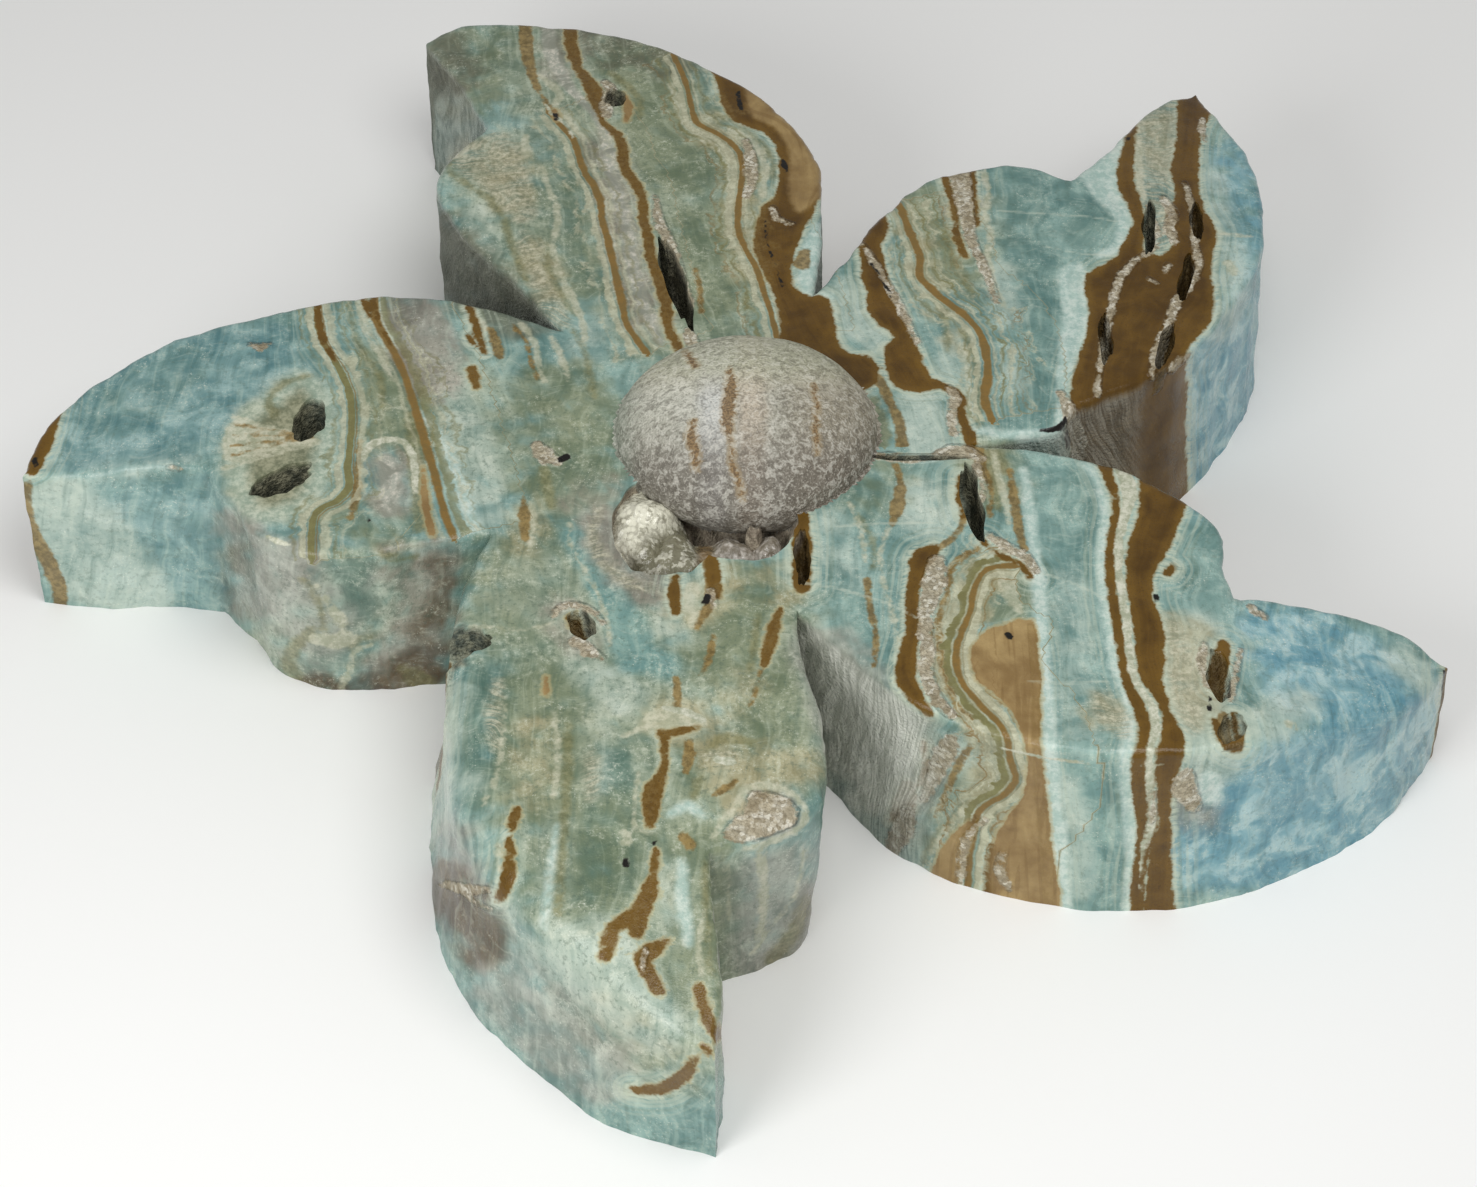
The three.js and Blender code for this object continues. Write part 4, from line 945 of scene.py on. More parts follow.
# Soft zones of colour in plan: the distance over which each fades, and its strokes with strengths.
ZONES = {
    "celadon": (10, [
        ([(-22, -22, 6), (-14, -40, 14), (-12, -60, 14), (-8, -76, 10)], 0.95),
        ([(-20, 68, 14), (-8, 44, 12), (-6, 20, 8)], 1), ([(-28, 46, 6), (-22, 30, 6)], 0.8),
        ([(-36, 6, 8), (-24, 0, 10)], 0.7), ([(2, -30, 6), (5, -44, 6)], 0.9),
        ([(26, 38, 3), (26, 28, 3)], 0.5), ([(-40, -24, 8), (-48, -30, 6)], 0.7),
    ]),
    "sea": (8, [
        ([(-74, 4, 8), (-66, 8, 14), (-58, 12, 8)], 1), ([(-70, -12, 6), (-62, -16, 12), (-58, -22, 8)], 0.8),
    ]),
    "stream": (2.6, [
        ([(-18.2, -12.4, 0.6), (-17.5, -16.4, 1), (-15.8, -19.6, 0.9), (-14, -23.8, 1.4), (-12.2, -28.5, 2.2),
         (-11, -32.6, 2.6), (-8, -34.6, 1.6)], 1),
        ([(35.8, -47, 2), (35.6, -54, 2.6), (35.4, -64, 3)], 0.8),
    ]),
    "blue": (7, [
        ([(62, 48, 4), (62, 34, 4), (60, 22, 4)], 0.6), ([(57, 14, 4), (54, 4, 6), (50, -6, 4)], 1),
        ([(60, -28, 4), (66, -34, 12), (72, -36, 10)], 0.9), ([(48, -60, 3), (60, -54, 12), (70, -44, 8)], 1),
    ]),
    "deep": (3, [
        ([(33.6, 46, 1), (34.6, 36, 3), (34.4, 22, 3), (33.4, 8, 2)], 0.6),
        ([(42, 38, 2), (40.6, 34, 2)], 0.8), ([(37.6, -8, 2), (37.4, -16, 2.4)], 0.4),
        ([(-20.6, 48, 1), (-20, 40, 1.4), (-18.4, 33, 1.4), (-16.6, 24, 1)], 0.6),
        ([(-25, -36, 1), (-24.8, -44, 1), (-25.2, -50, 1)], 1),
        ([(-28.2, -37, 1.6), (-28.6, -46, 1.4), (-28, -54, 1)], 0.8),
        ([(-13.4, -48, 1), (-12.8, -58, 3), (-12.6, -65, 1.6)], 1), ([(-42, -21, 2), (-41.6, -25.6, 2)], 0.6),
        ([(-44, -34.6, 2)] * 2, 0.4), ([(1, -62, 1), (0.6, -70, 1)], 0.6),
        ([(4.4, -61, 0.8), (4, -67, 0.8)], 0.5), ([(-70, 6, 6), (-64, 12, 4)], 0.5),
        ([(11.6, -24, 2), (12, -30, 2)], 0.5), ([(-19.4, -9, 2), (-17, -4, 3), (-15, 0, 2)], 0.5),
        ([(-30, 66, 3), (-30, 58, 2)], 0.4), ([(-4.6, 48, 1.4), (-4, 38, 1.6), (-3, 26, 1.8)], 0.5),
    ]),
    "pale": (2.6, [
        ([(12.4, 25, 1), (13, 20, 2.4), (15.6, 16.6, 1.6)], 0.9), ([(20.6, 5, 3), (21.6, -1, 3)], 1),
        ([(19.6, -9, 3), (21, -13, 3), (22.8, -10, 3)], 0.8), ([(-31, 38, 2), (-29.6, 32, 1.2)], 0.4),
        ([(57.2, 46, 0.6), (57.6, 38, 1), (58, 27, 1.6), (55.6, 17, 1)], 0.6),
        ([(31.4, 14, 0.6), (31.8, 8, 1)], 0.6), ([(24.4, 11, 2), (25, 16, 1.4)], 0.6),
        ([(31.4, 20, 1.6), (30.6, 28, 1)], 0.7), ([(-76, -8, 6), (-70, -18, 8), (-64, -24, 3)], 0.9),
        ([(-72, -3.6, 1), (-62, -3.6, 1)], 0.4), ([(50, -28, 2), (49, -38, 4), (50, -48, 3)], 0.9),
        ([(56, -42, 3), (60, -38, 3)], 0.7), ([(56, -52, 4), (62, -47, 2)], 0.2),
        ([(33.8, -52, 2), (34, -64, 3)], 0.8), ([(22, -47, 3), (24.4, -50, 2)], 0.7),
        ([(36.4, -22, 2), (36, -30, 2.6), (36, -40, 2), (36, -46, 2)], 0.45),
        ([(-15, -72, 8), (-9, -79, 5)], 0.8), ([(-30.2, -38, 0.8), (-30.8, -50, 1), (-31, -56, 1)], 0.8),
        ([(-24.6, -66, 2), (-20, -74, 2.4)], 0.5), ([(-6, -62, 2), (-5.4, -68, 2)], 0.8),
        ([(-12, -39, 3), (-17, -35, 2)], 0.6), ([(-7.4, -28.6, 2), (-4.6, -30.6, 1)], 0.5),
        ([(7, -40, 1), (7.6, -44, 1)], 0.7), ([(-33, 8, 2), (-30, -2, 3), (-28, -12, 3)], 0.6),
        ([(-18.2, 14, 2), (-16, 20, 1.6)], 0.5), ([(-24, -22, 3), (-22, -26, 2)], 0.5),
        ([(-51, -17, 1.2), (-50.6, -21, 1.6), (-50, -26, 1.6)], 1), ([(-57, -12, 2), (-56, -17, 2)], 0.4),
        ([(-33.6, -18.6, 0.6), (-33, -24, 0.8)], 0.5),
        ([(-18.4, -56, 0.8), (-18.6, -62, 1), (-18.4, -69, 1)], 1), ([(-28, -51, 1)] * 2, 0.7),
        ([(8, -36, 0.4), (8.2, -45, 0.4)], 0.9), ([(0, -38, 0.8)] * 2, 0.7),
        ([(-15.2, -41, 1), (-15.4, -51.6, 1.6)], 0.6), ([(-26, -25, 2), (-22, -20, 3)], 0.5),
        ([(10.6, -12, 1), (11, -18, 2), (12.6, -22, 1)], 0.5), ([(73, -28, 3), (74.6, -31, 2)], 0.8),
    ]),
    "strip": (1.3, [
        ([(-27.6, -36, 1.2), (-28, -46, 1.6), (-27, -53, 1.2)], 1), ([(-30.6, -66, 0.6), (-27, -76, 1)], 0.4),
        ([(-24.2, -37, 0.8), (-24.4, -44, 1), (-25, -51, 0.8)], 1),
        ([(-14.6, -54, 2), (-14, -60, 4), (-14.6, -66, 1.4)], 0.9), ([(-12.4, -47, 1), (-12, -52, 1.4)], 0.8),
        ([(-20.4, 47, 0.8), (-19.8, 40, 1.2), (-18.2, 33, 1.2), (-16.4, 24, 1)], 0.5),
        ([(-40.6, 14, 0.8), (-38.6, 6, 1), (-38, 1, 0.8)], 0.6),
        ([(-4.4, 47, 1), (-3.8, 38, 1.4), (-3, 27, 1.4)], 0.7),
        ([(-11, 60, 1), (-8.8, 50, 1.4), (-7, 42, 1)], 0.5), ([(0.6, -60.6, 0.8), (0.4, -69, 0.8)], 0.8),
        ([(4.6, -59.6, 0.6), (4, -67, 0.8)], 0.8), ([(3, -25, 1), (1, -34, 1)], 0.5),
        ([(-42, -20.4, 2), (-41.6, -25.4, 2)], 0.7), ([(-44.6, -33.6, 1.4)] * 2, 0.6),
        ([(-21.4, -15, 1.4), (-20, -22, 1.6)], 0.7),
    ]),
    "green": (6, [
        ([(-34, 72, 3), (-33, 62, 4)], 0.8), ([(-12, 66, 5), (-10, 56, 5), (-7, 46, 4)], 0.9),
        ([(-4, 36, 3), (-2.6, 24, 3)], 0.9), ([(-20, 8, 4), (-17, 2, 4), (-19, -8, 5)], 0.9),
        ([(-24, -18, 4), (-25, -26, 4)], 0.6), ([(-21.2, -38, 2), (-21.2, -46, 2.4), (-21.4, -53, 2)], 1),
        ([(-3.8, -59, 1), (-3.4, -66, 1.2), (-3, -73, 1)], 1), ([(4, -38, 1.6), (5.4, -44, 1.6)], 1),
        ([(-2, -50, 3), (2, -47, 2)], 0.7), ([(-17.6, -42, 0.4), (-17.6, -66, 0.6)], 0.8),
        ([(-12, -56, 3), (-12, -64, 2)], 0.8), ([(-19.4, 46, 1.4), (-18, 34, 1.6), (-16.4, 24, 1.4)], 0.6),
        ([(1, -24, 3), (0, -32, 5), (4, -40, 4)], 1), ([(23, 40, 2), (23.6, 34, 2), (24.4, 29, 2)], 1),
        ([(-41, 12, 2), (-39, 6, 2), (-38.6, 1, 2)], 0.9), ([(-44, -12, 2), (-39, -14, 2)], 0.6),
        ([(28, -3, 2), (28.6, -8, 1.6)], 0.8), ([(28.4, -22, 2), (28.8, -26, 1.6)], 0.9),
        ([(16, -6, 2), (14.6, -10, 1)], 0.6), ([(24, -52, 1.6), (21.6, -58, 1.6)], 0.5),
        ([(57.6, 33, 0.6), (58, 30, 0.6)], 0.3),
    ]),
    "mauve": (4, [
        ([(-38, 20, 4), (-36, 14, 4), (-34.6, 9, 1.6)], 1), ([(-38.8, -4, 1.6), (-38.8, -10, 1.4)], 0.7),
        ([(-19, -27, 1.4), (-16.6, -31, 1)], 0.6), ([(3, -54.6, 3)] * 2, 0.8),
        ([(27, 44, 1), (27.4, 38, 1)], 0.6),
        ([(-16.4, 50, 1.6), (-14.4, 40, 1.8), (-12.6, 30, 1.8), (-10.4, 20, 1.6)], 0.7),
        ([(-21, 72, 3), (-22, 66, 2)], 0.6), ([(46.6, -52, 2), (47.6, -55, 1.6)], 0.7),
        ([(-48.6, -17.6, 1), (-48, -21, 1.2)], 0.7),
        ([(-55.4, -12, 1), (-53.6, -17, 1), (-52.4, -25, 1)], 0.8),
        ([(-33.4, -19, 1.6), (-34, -28, 2.4), (-36, -35, 4)], 0.9),
        ([(-37.4, -18.6, 1.4), (-36.8, -21.6, 1.6)], 0.5),
        ([(-15.6, -12.6, 0.8), (-13.7, -17.4, 1.4), (-11.9, -20.6, 1.6), (-9.4, -23.4, 1)], 1),
        ([(-29.6, -58, 1), (-28.6, -64, 2)], 0.6), ([(-12, -20, 1.2), (-8, -24, 1)], 0.7),
        ([(-18, -10, 1), (-15, -8, 1)], 0.5),
    ]),
    "warm": (3.5, [
        ([(-51, 8, 2), (-54, 1, 4), (-54, -8, 3), (-49, -10, 3)], 0.5), ([(48, -30, 3), (48.4, -40, 3)], 0.9),
        ([(28, -19.6, 1), (24.6, -26, 1.6), (23, -34, 2), (25.4, -41, 2), (27.4, -47, 2),
         (25.4, -55, 2)], 0.95),
        ([(20.4, 38, 2), (21.6, 30, 1.6), (23.2, 23, 1.6), (26, 16, 1)], 0.5),
        ([(-4, 54, 2), (0.4, 48, 2), (0.4, 38, 2), (2, 26, 1.6)], 0.6), ([(-28, 47, 4), (-27, 40, 2)], 0.6),
        ([(-24, 31, 1), (-22, 25, 1)], 0.8), ([(51.6, 57, 2), (51.8, 48, 2)], 0.7),
        ([(-21.4, -44, 1.6), (-21.4, -52, 1.6)], 0.5), ([(-5, -26, 3), (-1.6, -22, 2)], 0.7),
        ([(-7, -42, 3), (-4, -43, 2)], 0.8), ([(1, -52, 3), (-2, -47, 3)], 0.8),
        ([(3.7, -48.4, 3), (6.6, -49, 1.4)], 0.8), ([(-1, -40, 2), (1, -37, 2)], 0.4),
        ([(-12, -79, 4), (-8, -84, 4)], 0.3), ([(27.4, -3, 1.6), (27.6, -7, 1)], 0.6),
        ([(38.8, -41, 2)] * 2, 0.7), ([(4.6, -20.6, 1.6), (5, -24, 1.6)], 0.5),
        ([(-23.4, -11, 1), (-23.2, -16, 1)], 0.6), ([(-33, 52, 1)] * 2, 0.5), ([(2.4, 47, 1)] * 2, 0.5),
        ([(45, 26, 1), (47, 29.6, 1)], 0.6),
    ]),
    "rust": (3, [
        ([(-30.4, -63, 1), (-28, -67, 3), (-25.4, -71, 1.6)], 0.95),
        ([(-33, -17, 0.6), (-32, -30, 0.6)], 0.4), ([(7.4, -66, 0.6), (6, -71, 1.4), (3, -74.4, 1)], 0.9),
        ([(-36, -36, 2), (-33, -33, 1)], 0.6), ([(-27, -67, 2.4), (-25.6, -73, 1.6)], 1),
        ([(-46, -38, 2), (-40, -39, 3), (-34, -36, 4)], 0.8), ([(-33, -26, 2), (-33, -33, 2)], 0.5),
    ]),
    # dull: darker olive-grey patches on petal A, partly painted shade there; on the ground walls, and on the
    # wall of E's lobe that turns away to the left, it is painted shade
    "dull": (5, [
        ([(-38, 74, 2), (-36, 66, 3)], 0.9), ([(-20, 73, 5), (-8, 67, 4)], 0.7),
        ([(-36, 34, 3), (-30, 25, 4), (-26, 20, 3)], 1), ([(-54, -18, 1), (-53, -26, 1)], 0.6),
    ]),
    # ash: pale grey patches; on the ground walls they are also painted light, whitening the walls there, most
    # of all petal C's left wall
    "ash": (5, [
        ([(9, -32, 2), (13, -40, 5), (16, -50, 5)], 1), ([(4, -62, 3), (3, -72, 3)], 0.9),
        ([(-50, -20, 3), (-45, -30, 4)], 0.8), ([(-22, -78, 4), (-15, -85, 5)], 0.75),
        ([(-37, -24, 3)] * 2, 0.4),
    ]),
}

# Brown cracks of the ground dome, as strokes in plan.
DOME_MARKS = [
    [(-1, 11.1, 0.4), (-0.7, 8.5, 1.1), (-1.2, 5.1, 1.3), (-1.2, 2.1, 1.1), (-0.7, -0.9, 0.5),
     (-0.7, -3.9, 0.5), (0.3, -7.6, 0.5), (0.5, -10, 0.2)],
    [(-5, 2.8, 0.4), (-5.3, 0.2, 0.9), (-4.8, -2.4, 0.8), (-4.8, -5, 0.4)],
    [(8.5, 8.8, 0.2), (9, 5.1, 0.3), (8.8, 1.5, 0.3), (9, -2.4, 0.3)],
    [(-6, 14, 0.5), (-5, 12, 0.8)],
]

# Guide curves x(y), from left to right, with the flow value that each one holds in millimetres.
GUIDES = [
    (-84, [(-84, 0)]),
    (-60, [(-58, 20), (-60, 0), (-60, -30)]),
    (-44, [(-49, 22), (-46, 12.3), (-43.7, 4.7), (-43.5, -8), (-46.5, -12), (-46.5, -30)]),
    (-35, [(-34, 76), (-33, 50), (-33, 40), (-42, 19.4), (-38, 9.3), (-35, -1.4), (-32, -15), (-31.5, -40),
        (-31, -80)]),
    (-25, [(-27, 76), (-24.9, 61.5), (-25.6, 50), (-25, 40), (-25, 30), (-23, 18), (-24, 5), (-23.7, -12),
        (-23.5, -40), (-22.5, -80)]),
    (-18, [(-22.6, 76), (-21.5, 62), (-20, 52), (-18.5, 45), (-16.4, 39), (-14.9, 30), (-13, 19), (-14, 6),
        (-17, -10), (-17.5, -40), (-17.6, -80)]),
    (-10, [(-20.5, 76), (-19.8, 66), (-17.5, 59), (-14, 50), (-11.5, 41), (-10.4, 33), (-8.6, 24),
        (-6.8, 14.6), (-8, 0), (-9, -20), (-8.6, -50), (-8.6, -80)]),
    (0, [(-8.4, 76), (-7, 64), (-5.4, 56), (-1, 51), (0.4, 45), (0, 36), (2, 29), (4, 20), (5, 6), (3, -14),
        (3, -30), (1, -50), (0, -60)]),
    (10, [(4, 62), (6, 47), (6.4, 36), (7, 26), (10, 18), (14, 12), (17, 6), (18.4, -2), (16.4, -12),
        (14.4, -24), (14.6, -36), (13, -60)]),
    (20, [(15.4, 36), (16.4, 29), (19, 21), (20, 14), (23, 8.6), (26, 1), (26, -12), (22, -18), (19.4, -24),
        (18.4, -35), (21, -42), (17, -56)]),
    (28, [(19.2, 40), (21, 32), (22.5, 25), (26.7, 20), (28.6, 13), (28.6, 3), (29.6, -6), (30.6, -14),
        (29, -20), (25, -26), (23.6, -34), (28, -44), (28.6, -50), (24.6, -57), (23.4, -66)]),
    (33, [(29.6, 46), (30, 34), (30, 26), (31.4, 16), (31, 4), (32, -6), (32.4, -22), (32.4, -40),
        (32.3, -68)]),
    (41, [(45, 52), (45.6, 40), (40.4, 28), (40.6, 20), (38.4, 10), (38, 3), (42, -6), (40.8, -22),
        (41.4, -34), (43, -42), (41.8, -52), (40.6, -68)]),
    (50, [(54, 60), (52.6, 48), (52.6, 40), (54, 30), (49, 18), (47, 8), (49.6, -10), (45.6, -20),
        (45.6, -34), (46.8, -45), (44.8, -56), (43.8, -68)]),
    (84, [(84, 0)]),
]


def flow_value(points):
    """The sheet that each point lies on, as a smooth number that grows from left to right."""
    columns = []
    for _, guide in GUIDES:
        rows = np.array(sorted(guide, key=lambda p: p[1]), float)
        columns.append(np.interp(points[:, 1], rows[:, 1], rows[:, 0]))
    x = np.array(columns)
    x = np.maximum.accumulate(x, axis=0) + 0.01 * np.arange(len(x))[:, None]
    held = np.array([value for value, _ in GUIDES], float)
    slot = np.clip((points[:, 0] >= x).sum(0) - 1, 0, len(GUIDES) - 2)
    column = np.arange(len(points))
    low, high = x[slot, column], x[slot + 1, column]
    share = np.clip((points[:, 0] - low) / np.maximum(high - low, 0.3), 0, 1)
    return held[slot] + share * (held[slot + 1] - held[slot])


# ---- meshes ----
def mesh_object(name, vertices, faces):
    """An object with a mesh made from vertices in millimetres."""
    mesh = bpy.data.meshes.new(name)
    mesh.from_pydata((np.asarray(vertices) * MM).tolist(), [], faces)
    mesh.validate()
    made = bpy.data.objects.new(name, mesh)
    bpy.context.scene.collection.objects.link(made)
    return made


def positions(made):
    flat = np.zeros(len(made.data.vertices) * 3)
    made.data.vertices.foreach_get("co", flat)
    return flat.reshape(-1, 3) / MM


def unit_ball(divisions):
    """Vertices and triangles of a unit sphere."""
    made = bpy.data.meshes.new("ball")
    shape = bmesh.new()
    bmesh.ops.create_icosphere(shape, subdivisions=divisions, radius=1)
    shape.to_mesh(made)
    shape.free()
    points = np.array([v.co for v in made.vertices])
    faces = [tuple(p.vertices) for p in made.polygons]
    bpy.data.meshes.remove(made)
    return points, faces


def cut(made, tool, operation):
    """Applies a boolean to made and removes the tool."""
    modifier = made.modifiers.new("cut", "BOOLEAN")
    modifier.operation = operation
    modifier.solver = "MANIFOLD"
    modifier.object = tool
    bpy.context.view_layer.update()
    shown = made.evaluated_get(bpy.context.evaluated_depsgraph_get())
    result = bpy.data.meshes.new_from_object(shown)
    made.modifiers.clear()
    made.data = result
    bpy.data.objects.remove(tool)


def rough_ball(divisions, centre, radii, layers, seed=0):
    """A ball whose radii are roughened by layers of noise."""
    points, faces = unit_ball(divisions)
    return points * (1 + ripples(points, layers, seed))[:, None] * radii + centre, faces


def pit_part(seed, at, width, length, turn, depth):
    points, faces = rough_ball(4, (0, 0, 0), (width / 2, length / 2, depth), PIT_WOBBLE, seed)
    angle = math.radians(turn)
    x = points[:, 0] * math.cos(angle) - points[:, 1] * math.sin(angle)
    y = points[:, 0] * math.sin(angle) + points[:, 1] * math.cos(angle)
    bend = PIT_BEND * width * np.sin(y * PIT_BEND_PITCH + seed)
    top = float(top_height(np.array(at[0]), np.array(at[1])))
    return np.column_stack([x + bend + at[0], y + at[1], points[:, 2] + top]), faces


def dome_part():
    points, faces = unit_ball(6)
    return points * DOME_RADII + points * ripples(points, DOME_WOBBLE)[:, None] + DOME_CENTRE, faces


def carve_flower(outline):
    """The slab with its hollow and pits cut in, and the dome and its stem added."""
    made = mesh_object("carved_flower", *slab_mesh(outline))
    for number, (centre, radii) in enumerate(HOLLOW):
        bowl = rough_ball(5, centre, radii, BOWL_WOBBLE, BOWL_SEED + number)
        cut(made, mesh_object("bowl", *bowl), "DIFFERENCE")
    for number, pit in enumerate(PITS):
        cut(made, mesh_object("pit", *pit_part(PIT_SEED + number, *pit)), "DIFFERENCE")
    cut(made, mesh_object("dome", *dome_part()), "UNION")
    cut(made, mesh_object("stem", *rough_ball(4, STEM_CENTRE, STEM_RADII, STEM_WOBBLE)), "UNION")
    return made


# ---- what each point of the stone carries ----
# On walls that face it, marks are laid out along straight lines from this fixed point, so that the
# bands of the top run on down the walls as they do in the photo.
LAYOUT_POINT = np.array([0.067, -320.58, 342.12])
WALL_REACH = 3.6            # how far a wall's points may lie from the outline
MARK_MARGIN = 4             # how far round a mark its distances are worked out
B_JUNCTION = -1.8           # marks of petal B end at this y on the top, where petal C begins
KINDS = ["brown", "fawn", "gold", "olive", "cream", "bright", "chalk", "comb", "druse", "crack", "pale",
         "halo", "hair"]
ZONE_WOBBLE = [(0.16, 5, 61), (0.1, 1.9, 62), (0.06, 1.1, 63)]
WALL_TOP = 0.6              # depth below the top from which a point counts as wall
FACING_BLEND = (-0.3, 0)    # how far a wall faces the layout point, from plan to rays
MATTE_FADE = (0.5, 1.6)     # depths over which the ground finish begins
INNER_FADE = (0.15, 0.5)    # depths over which the inside of a slot begins
BOWL_FADE = (0.2, 0.8)      # depths over which the inside of the hollow begins
# Sizes, as shares of the cutting shape, within which a point belongs to its surface.
IN_BOWL, IN_PIT, IN_DOME, DOME_FACES = 1.1, 1.3, 1.03, 1.02
BOWL_RIM = (1.16, 1.08)     # shares over which the colour of the hollow sets in


def plan_of(points, height, share):
    """Where points lie in the layout: straight down, or along the ray from the layout point."""
    t = (LAYOUT_POINT[2] - height) / (LAYOUT_POINT[2] - points[:, 2])
    seen = LAYOUT_POINT[:2] + t[:, None] * (points[:, :2] - LAYOUT_POINT[:2])
    return points[:, :2] + share[:, None] * (seen - points[:, :2])


def in_ellipsoid(points, centre, radii):
    return np.linalg.norm((points - centre) / radii, axis=1)


def inner_share(points, depth):
    """1 on the surface of a slot or of the hollow, 0 elsewhere."""
    inner = np.zeros(len(points))
    for bowl in HOLLOW:
        inner = np.maximum(inner, in_ellipsoid(points, *bowl) < IN_BOWL)
    for (x, y), width, length, turn, deep in PITS:
        angle = math.radians(turn)
        dx, dy = points[:, 0] - x, points[:, 1] - y
        across = dx * math.cos(angle) + dy * math.sin(angle)
        along = dy * math.cos(angle) - dx * math.sin(angle)
        f = np.sqrt((across / width * 2) ** 2 + (along / length * 2) ** 2 + (depth / deep) ** 2)
        inner = np.maximum(inner, f < IN_PIT)
    return inner * smooth(*INNER_FADE, depth)


def mark_distances(plan, petal, on_wall):
    """The least signed distance of every point to each kind of mark."""
    found = {kind: np.full(len(plan), FAR) for kind in KINDS}
    for group, kinds in MARKS.items():
        owned = np.ones(len(plan), bool)
        if group in PETALS:
            owned = ~on_wall | (petal == list(PETALS).index(group))
        if group == "B":
            owned &= on_wall | (plan[:, 1] > B_JUNCTION)
        for kind, shapes in kinds.items():
            measure = patch_distance if kind.endswith(" patch") else stroke_distance
            least = found[kind.split()[0]]
            for shape in shapes:
                places = np.array(shape, float)[:, :2]
                low, high = places.min(0) - MARK_MARGIN, places.max(0) + MARK_MARGIN
                near = np.nonzero(owned & np.all((plan > low) & (plan < high), axis=1))[0]
                least[near] = np.minimum(least[near], measure(plan[near], shape))
    return found


def zone_weights(plan):
    """How strongly each soft zone colours every point, with uneven edges."""
    uneven = ripples(plan, ZONE_WOBBLE)
    weights = {}
    for name, _, _, full in ZONE_COLOURS:
        fade, strokes = ZONES[name]
        weight = np.zeros(len(plan))
        for stroke, strength in strokes:
            away = stroke_distance(plan, stroke)
            weight = np.maximum(weight, strength * (1 - smooth(0, fade, away)))
        weights[name] = full * smooth(0, 1, weight + uneven * smooth(0, 0.35, weight))
    return weights


def give(made, name, values):
    """Stores one number or vector for each vertex."""
    kind = "FLOAT" if values.ndim == 1 else "FLOAT_VECTOR"
    layer = made.data.attributes.new(name, kind, "POINT")
    layer.data.foreach_set("value" if kind == "FLOAT" else "vector", values.astype(np.float32).ravel())


def describe_stone(made, outline):
    """Writes the marks, zones and finish of each vertex of the carved stone."""
    points = positions(made)
    height = top_height(points[:, 0], points[:, 1])
    depth = np.clip(height - points[:, 2], 0, None)
    near = nearest_tree([(x, y, 0) for x, y in outline[:, :2]])
    hits = [near.find((x, y, 0)) for x, y in points[:, :2]]
    nearest = np.array([hit[1] for hit in hits])
    away = np.array([hit[2] for hit in hits])
    inner = inner_share(points, depth)
    on_wall = (away < WALL_REACH) & (depth > WALL_TOP) & (inner < 0.5)
    dome = in_ellipsoid(points, DOME_CENTRE, DOME_RADII) < IN_DOME
    to_point = LAYOUT_POINT[:2] - points[:, :2]
    to_point /= np.linalg.norm(to_point, axis=1)[:, None]
    facing = (outline[nearest, 7:9] * to_point).sum(1)
    share = np.where((inner > 0) | (away >= WALL_REACH), 0, smooth(*FACING_BLEND, facing))
    plan = plan_of(points, np.where(dome, SLAB_THICKNESS, height), np.where(dome, 1, share))
    petal = outline[nearest, 4]
    for name, values in mark_distances(plan, petal, on_wall).items():
        give(made, name, values)
    for name, values in zone_weights(plan).items():
        give(made, "zone_" + name, values)
    for name, (line, _) in LANES.items():
        own = ~on_wall | (petal == list(PETALS).index(name[0].upper()))
        give(made, name, np.where(own, side_offset(plan, line), FAR))
    give(made, "matte", outline[nearest, 5] * smooth(*MATTE_FADE, depth) * on_wall)
    give(made, "inner", inner)
    bowl = np.max([smooth(*BOWL_RIM, in_ellipsoid(points, *part)) for part in HOLLOW], axis=0)
    give(made, "bowl", bowl * smooth(*BOWL_FADE, depth))
    give(made, "sheet", np.column_stack([flow_value(plan), plan[:, 1], depth]))
    give(made, "stain", np.min([stroke_distance(plan, stroke) for stroke in DOME_MARKS], axis=0))
    give(made, "dome_plan", np.column_stack([plan, np.zeros(len(plan))]))


def mark_dome(made, slot_index):
    """Gives the faces of the ground dome the second material."""
    count = len(made.data.polygons)
    centres = np.zeros(count * 3)
    made.data.polygons.foreach_get("center", centres)
    f = in_ellipsoid(centres.reshape(-1, 3) / MM, DOME_CENTRE, DOME_RADII)
    made.data.polygons.foreach_set("material_index", np.where(f < DOME_FACES, slot_index, 0).astype(np.int32))


# ---- materials ----
def linear(red, green, blue):
    """A colour of 0-255 values as the renderer's linear one."""
    shares = np.array([red, green, blue]) / 255
    values = np.where(shares <= 0.04045, shares / 12.92, ((shares + 0.055) / 1.055) ** 2.4)
    return (*values.tolist(), 1.0)


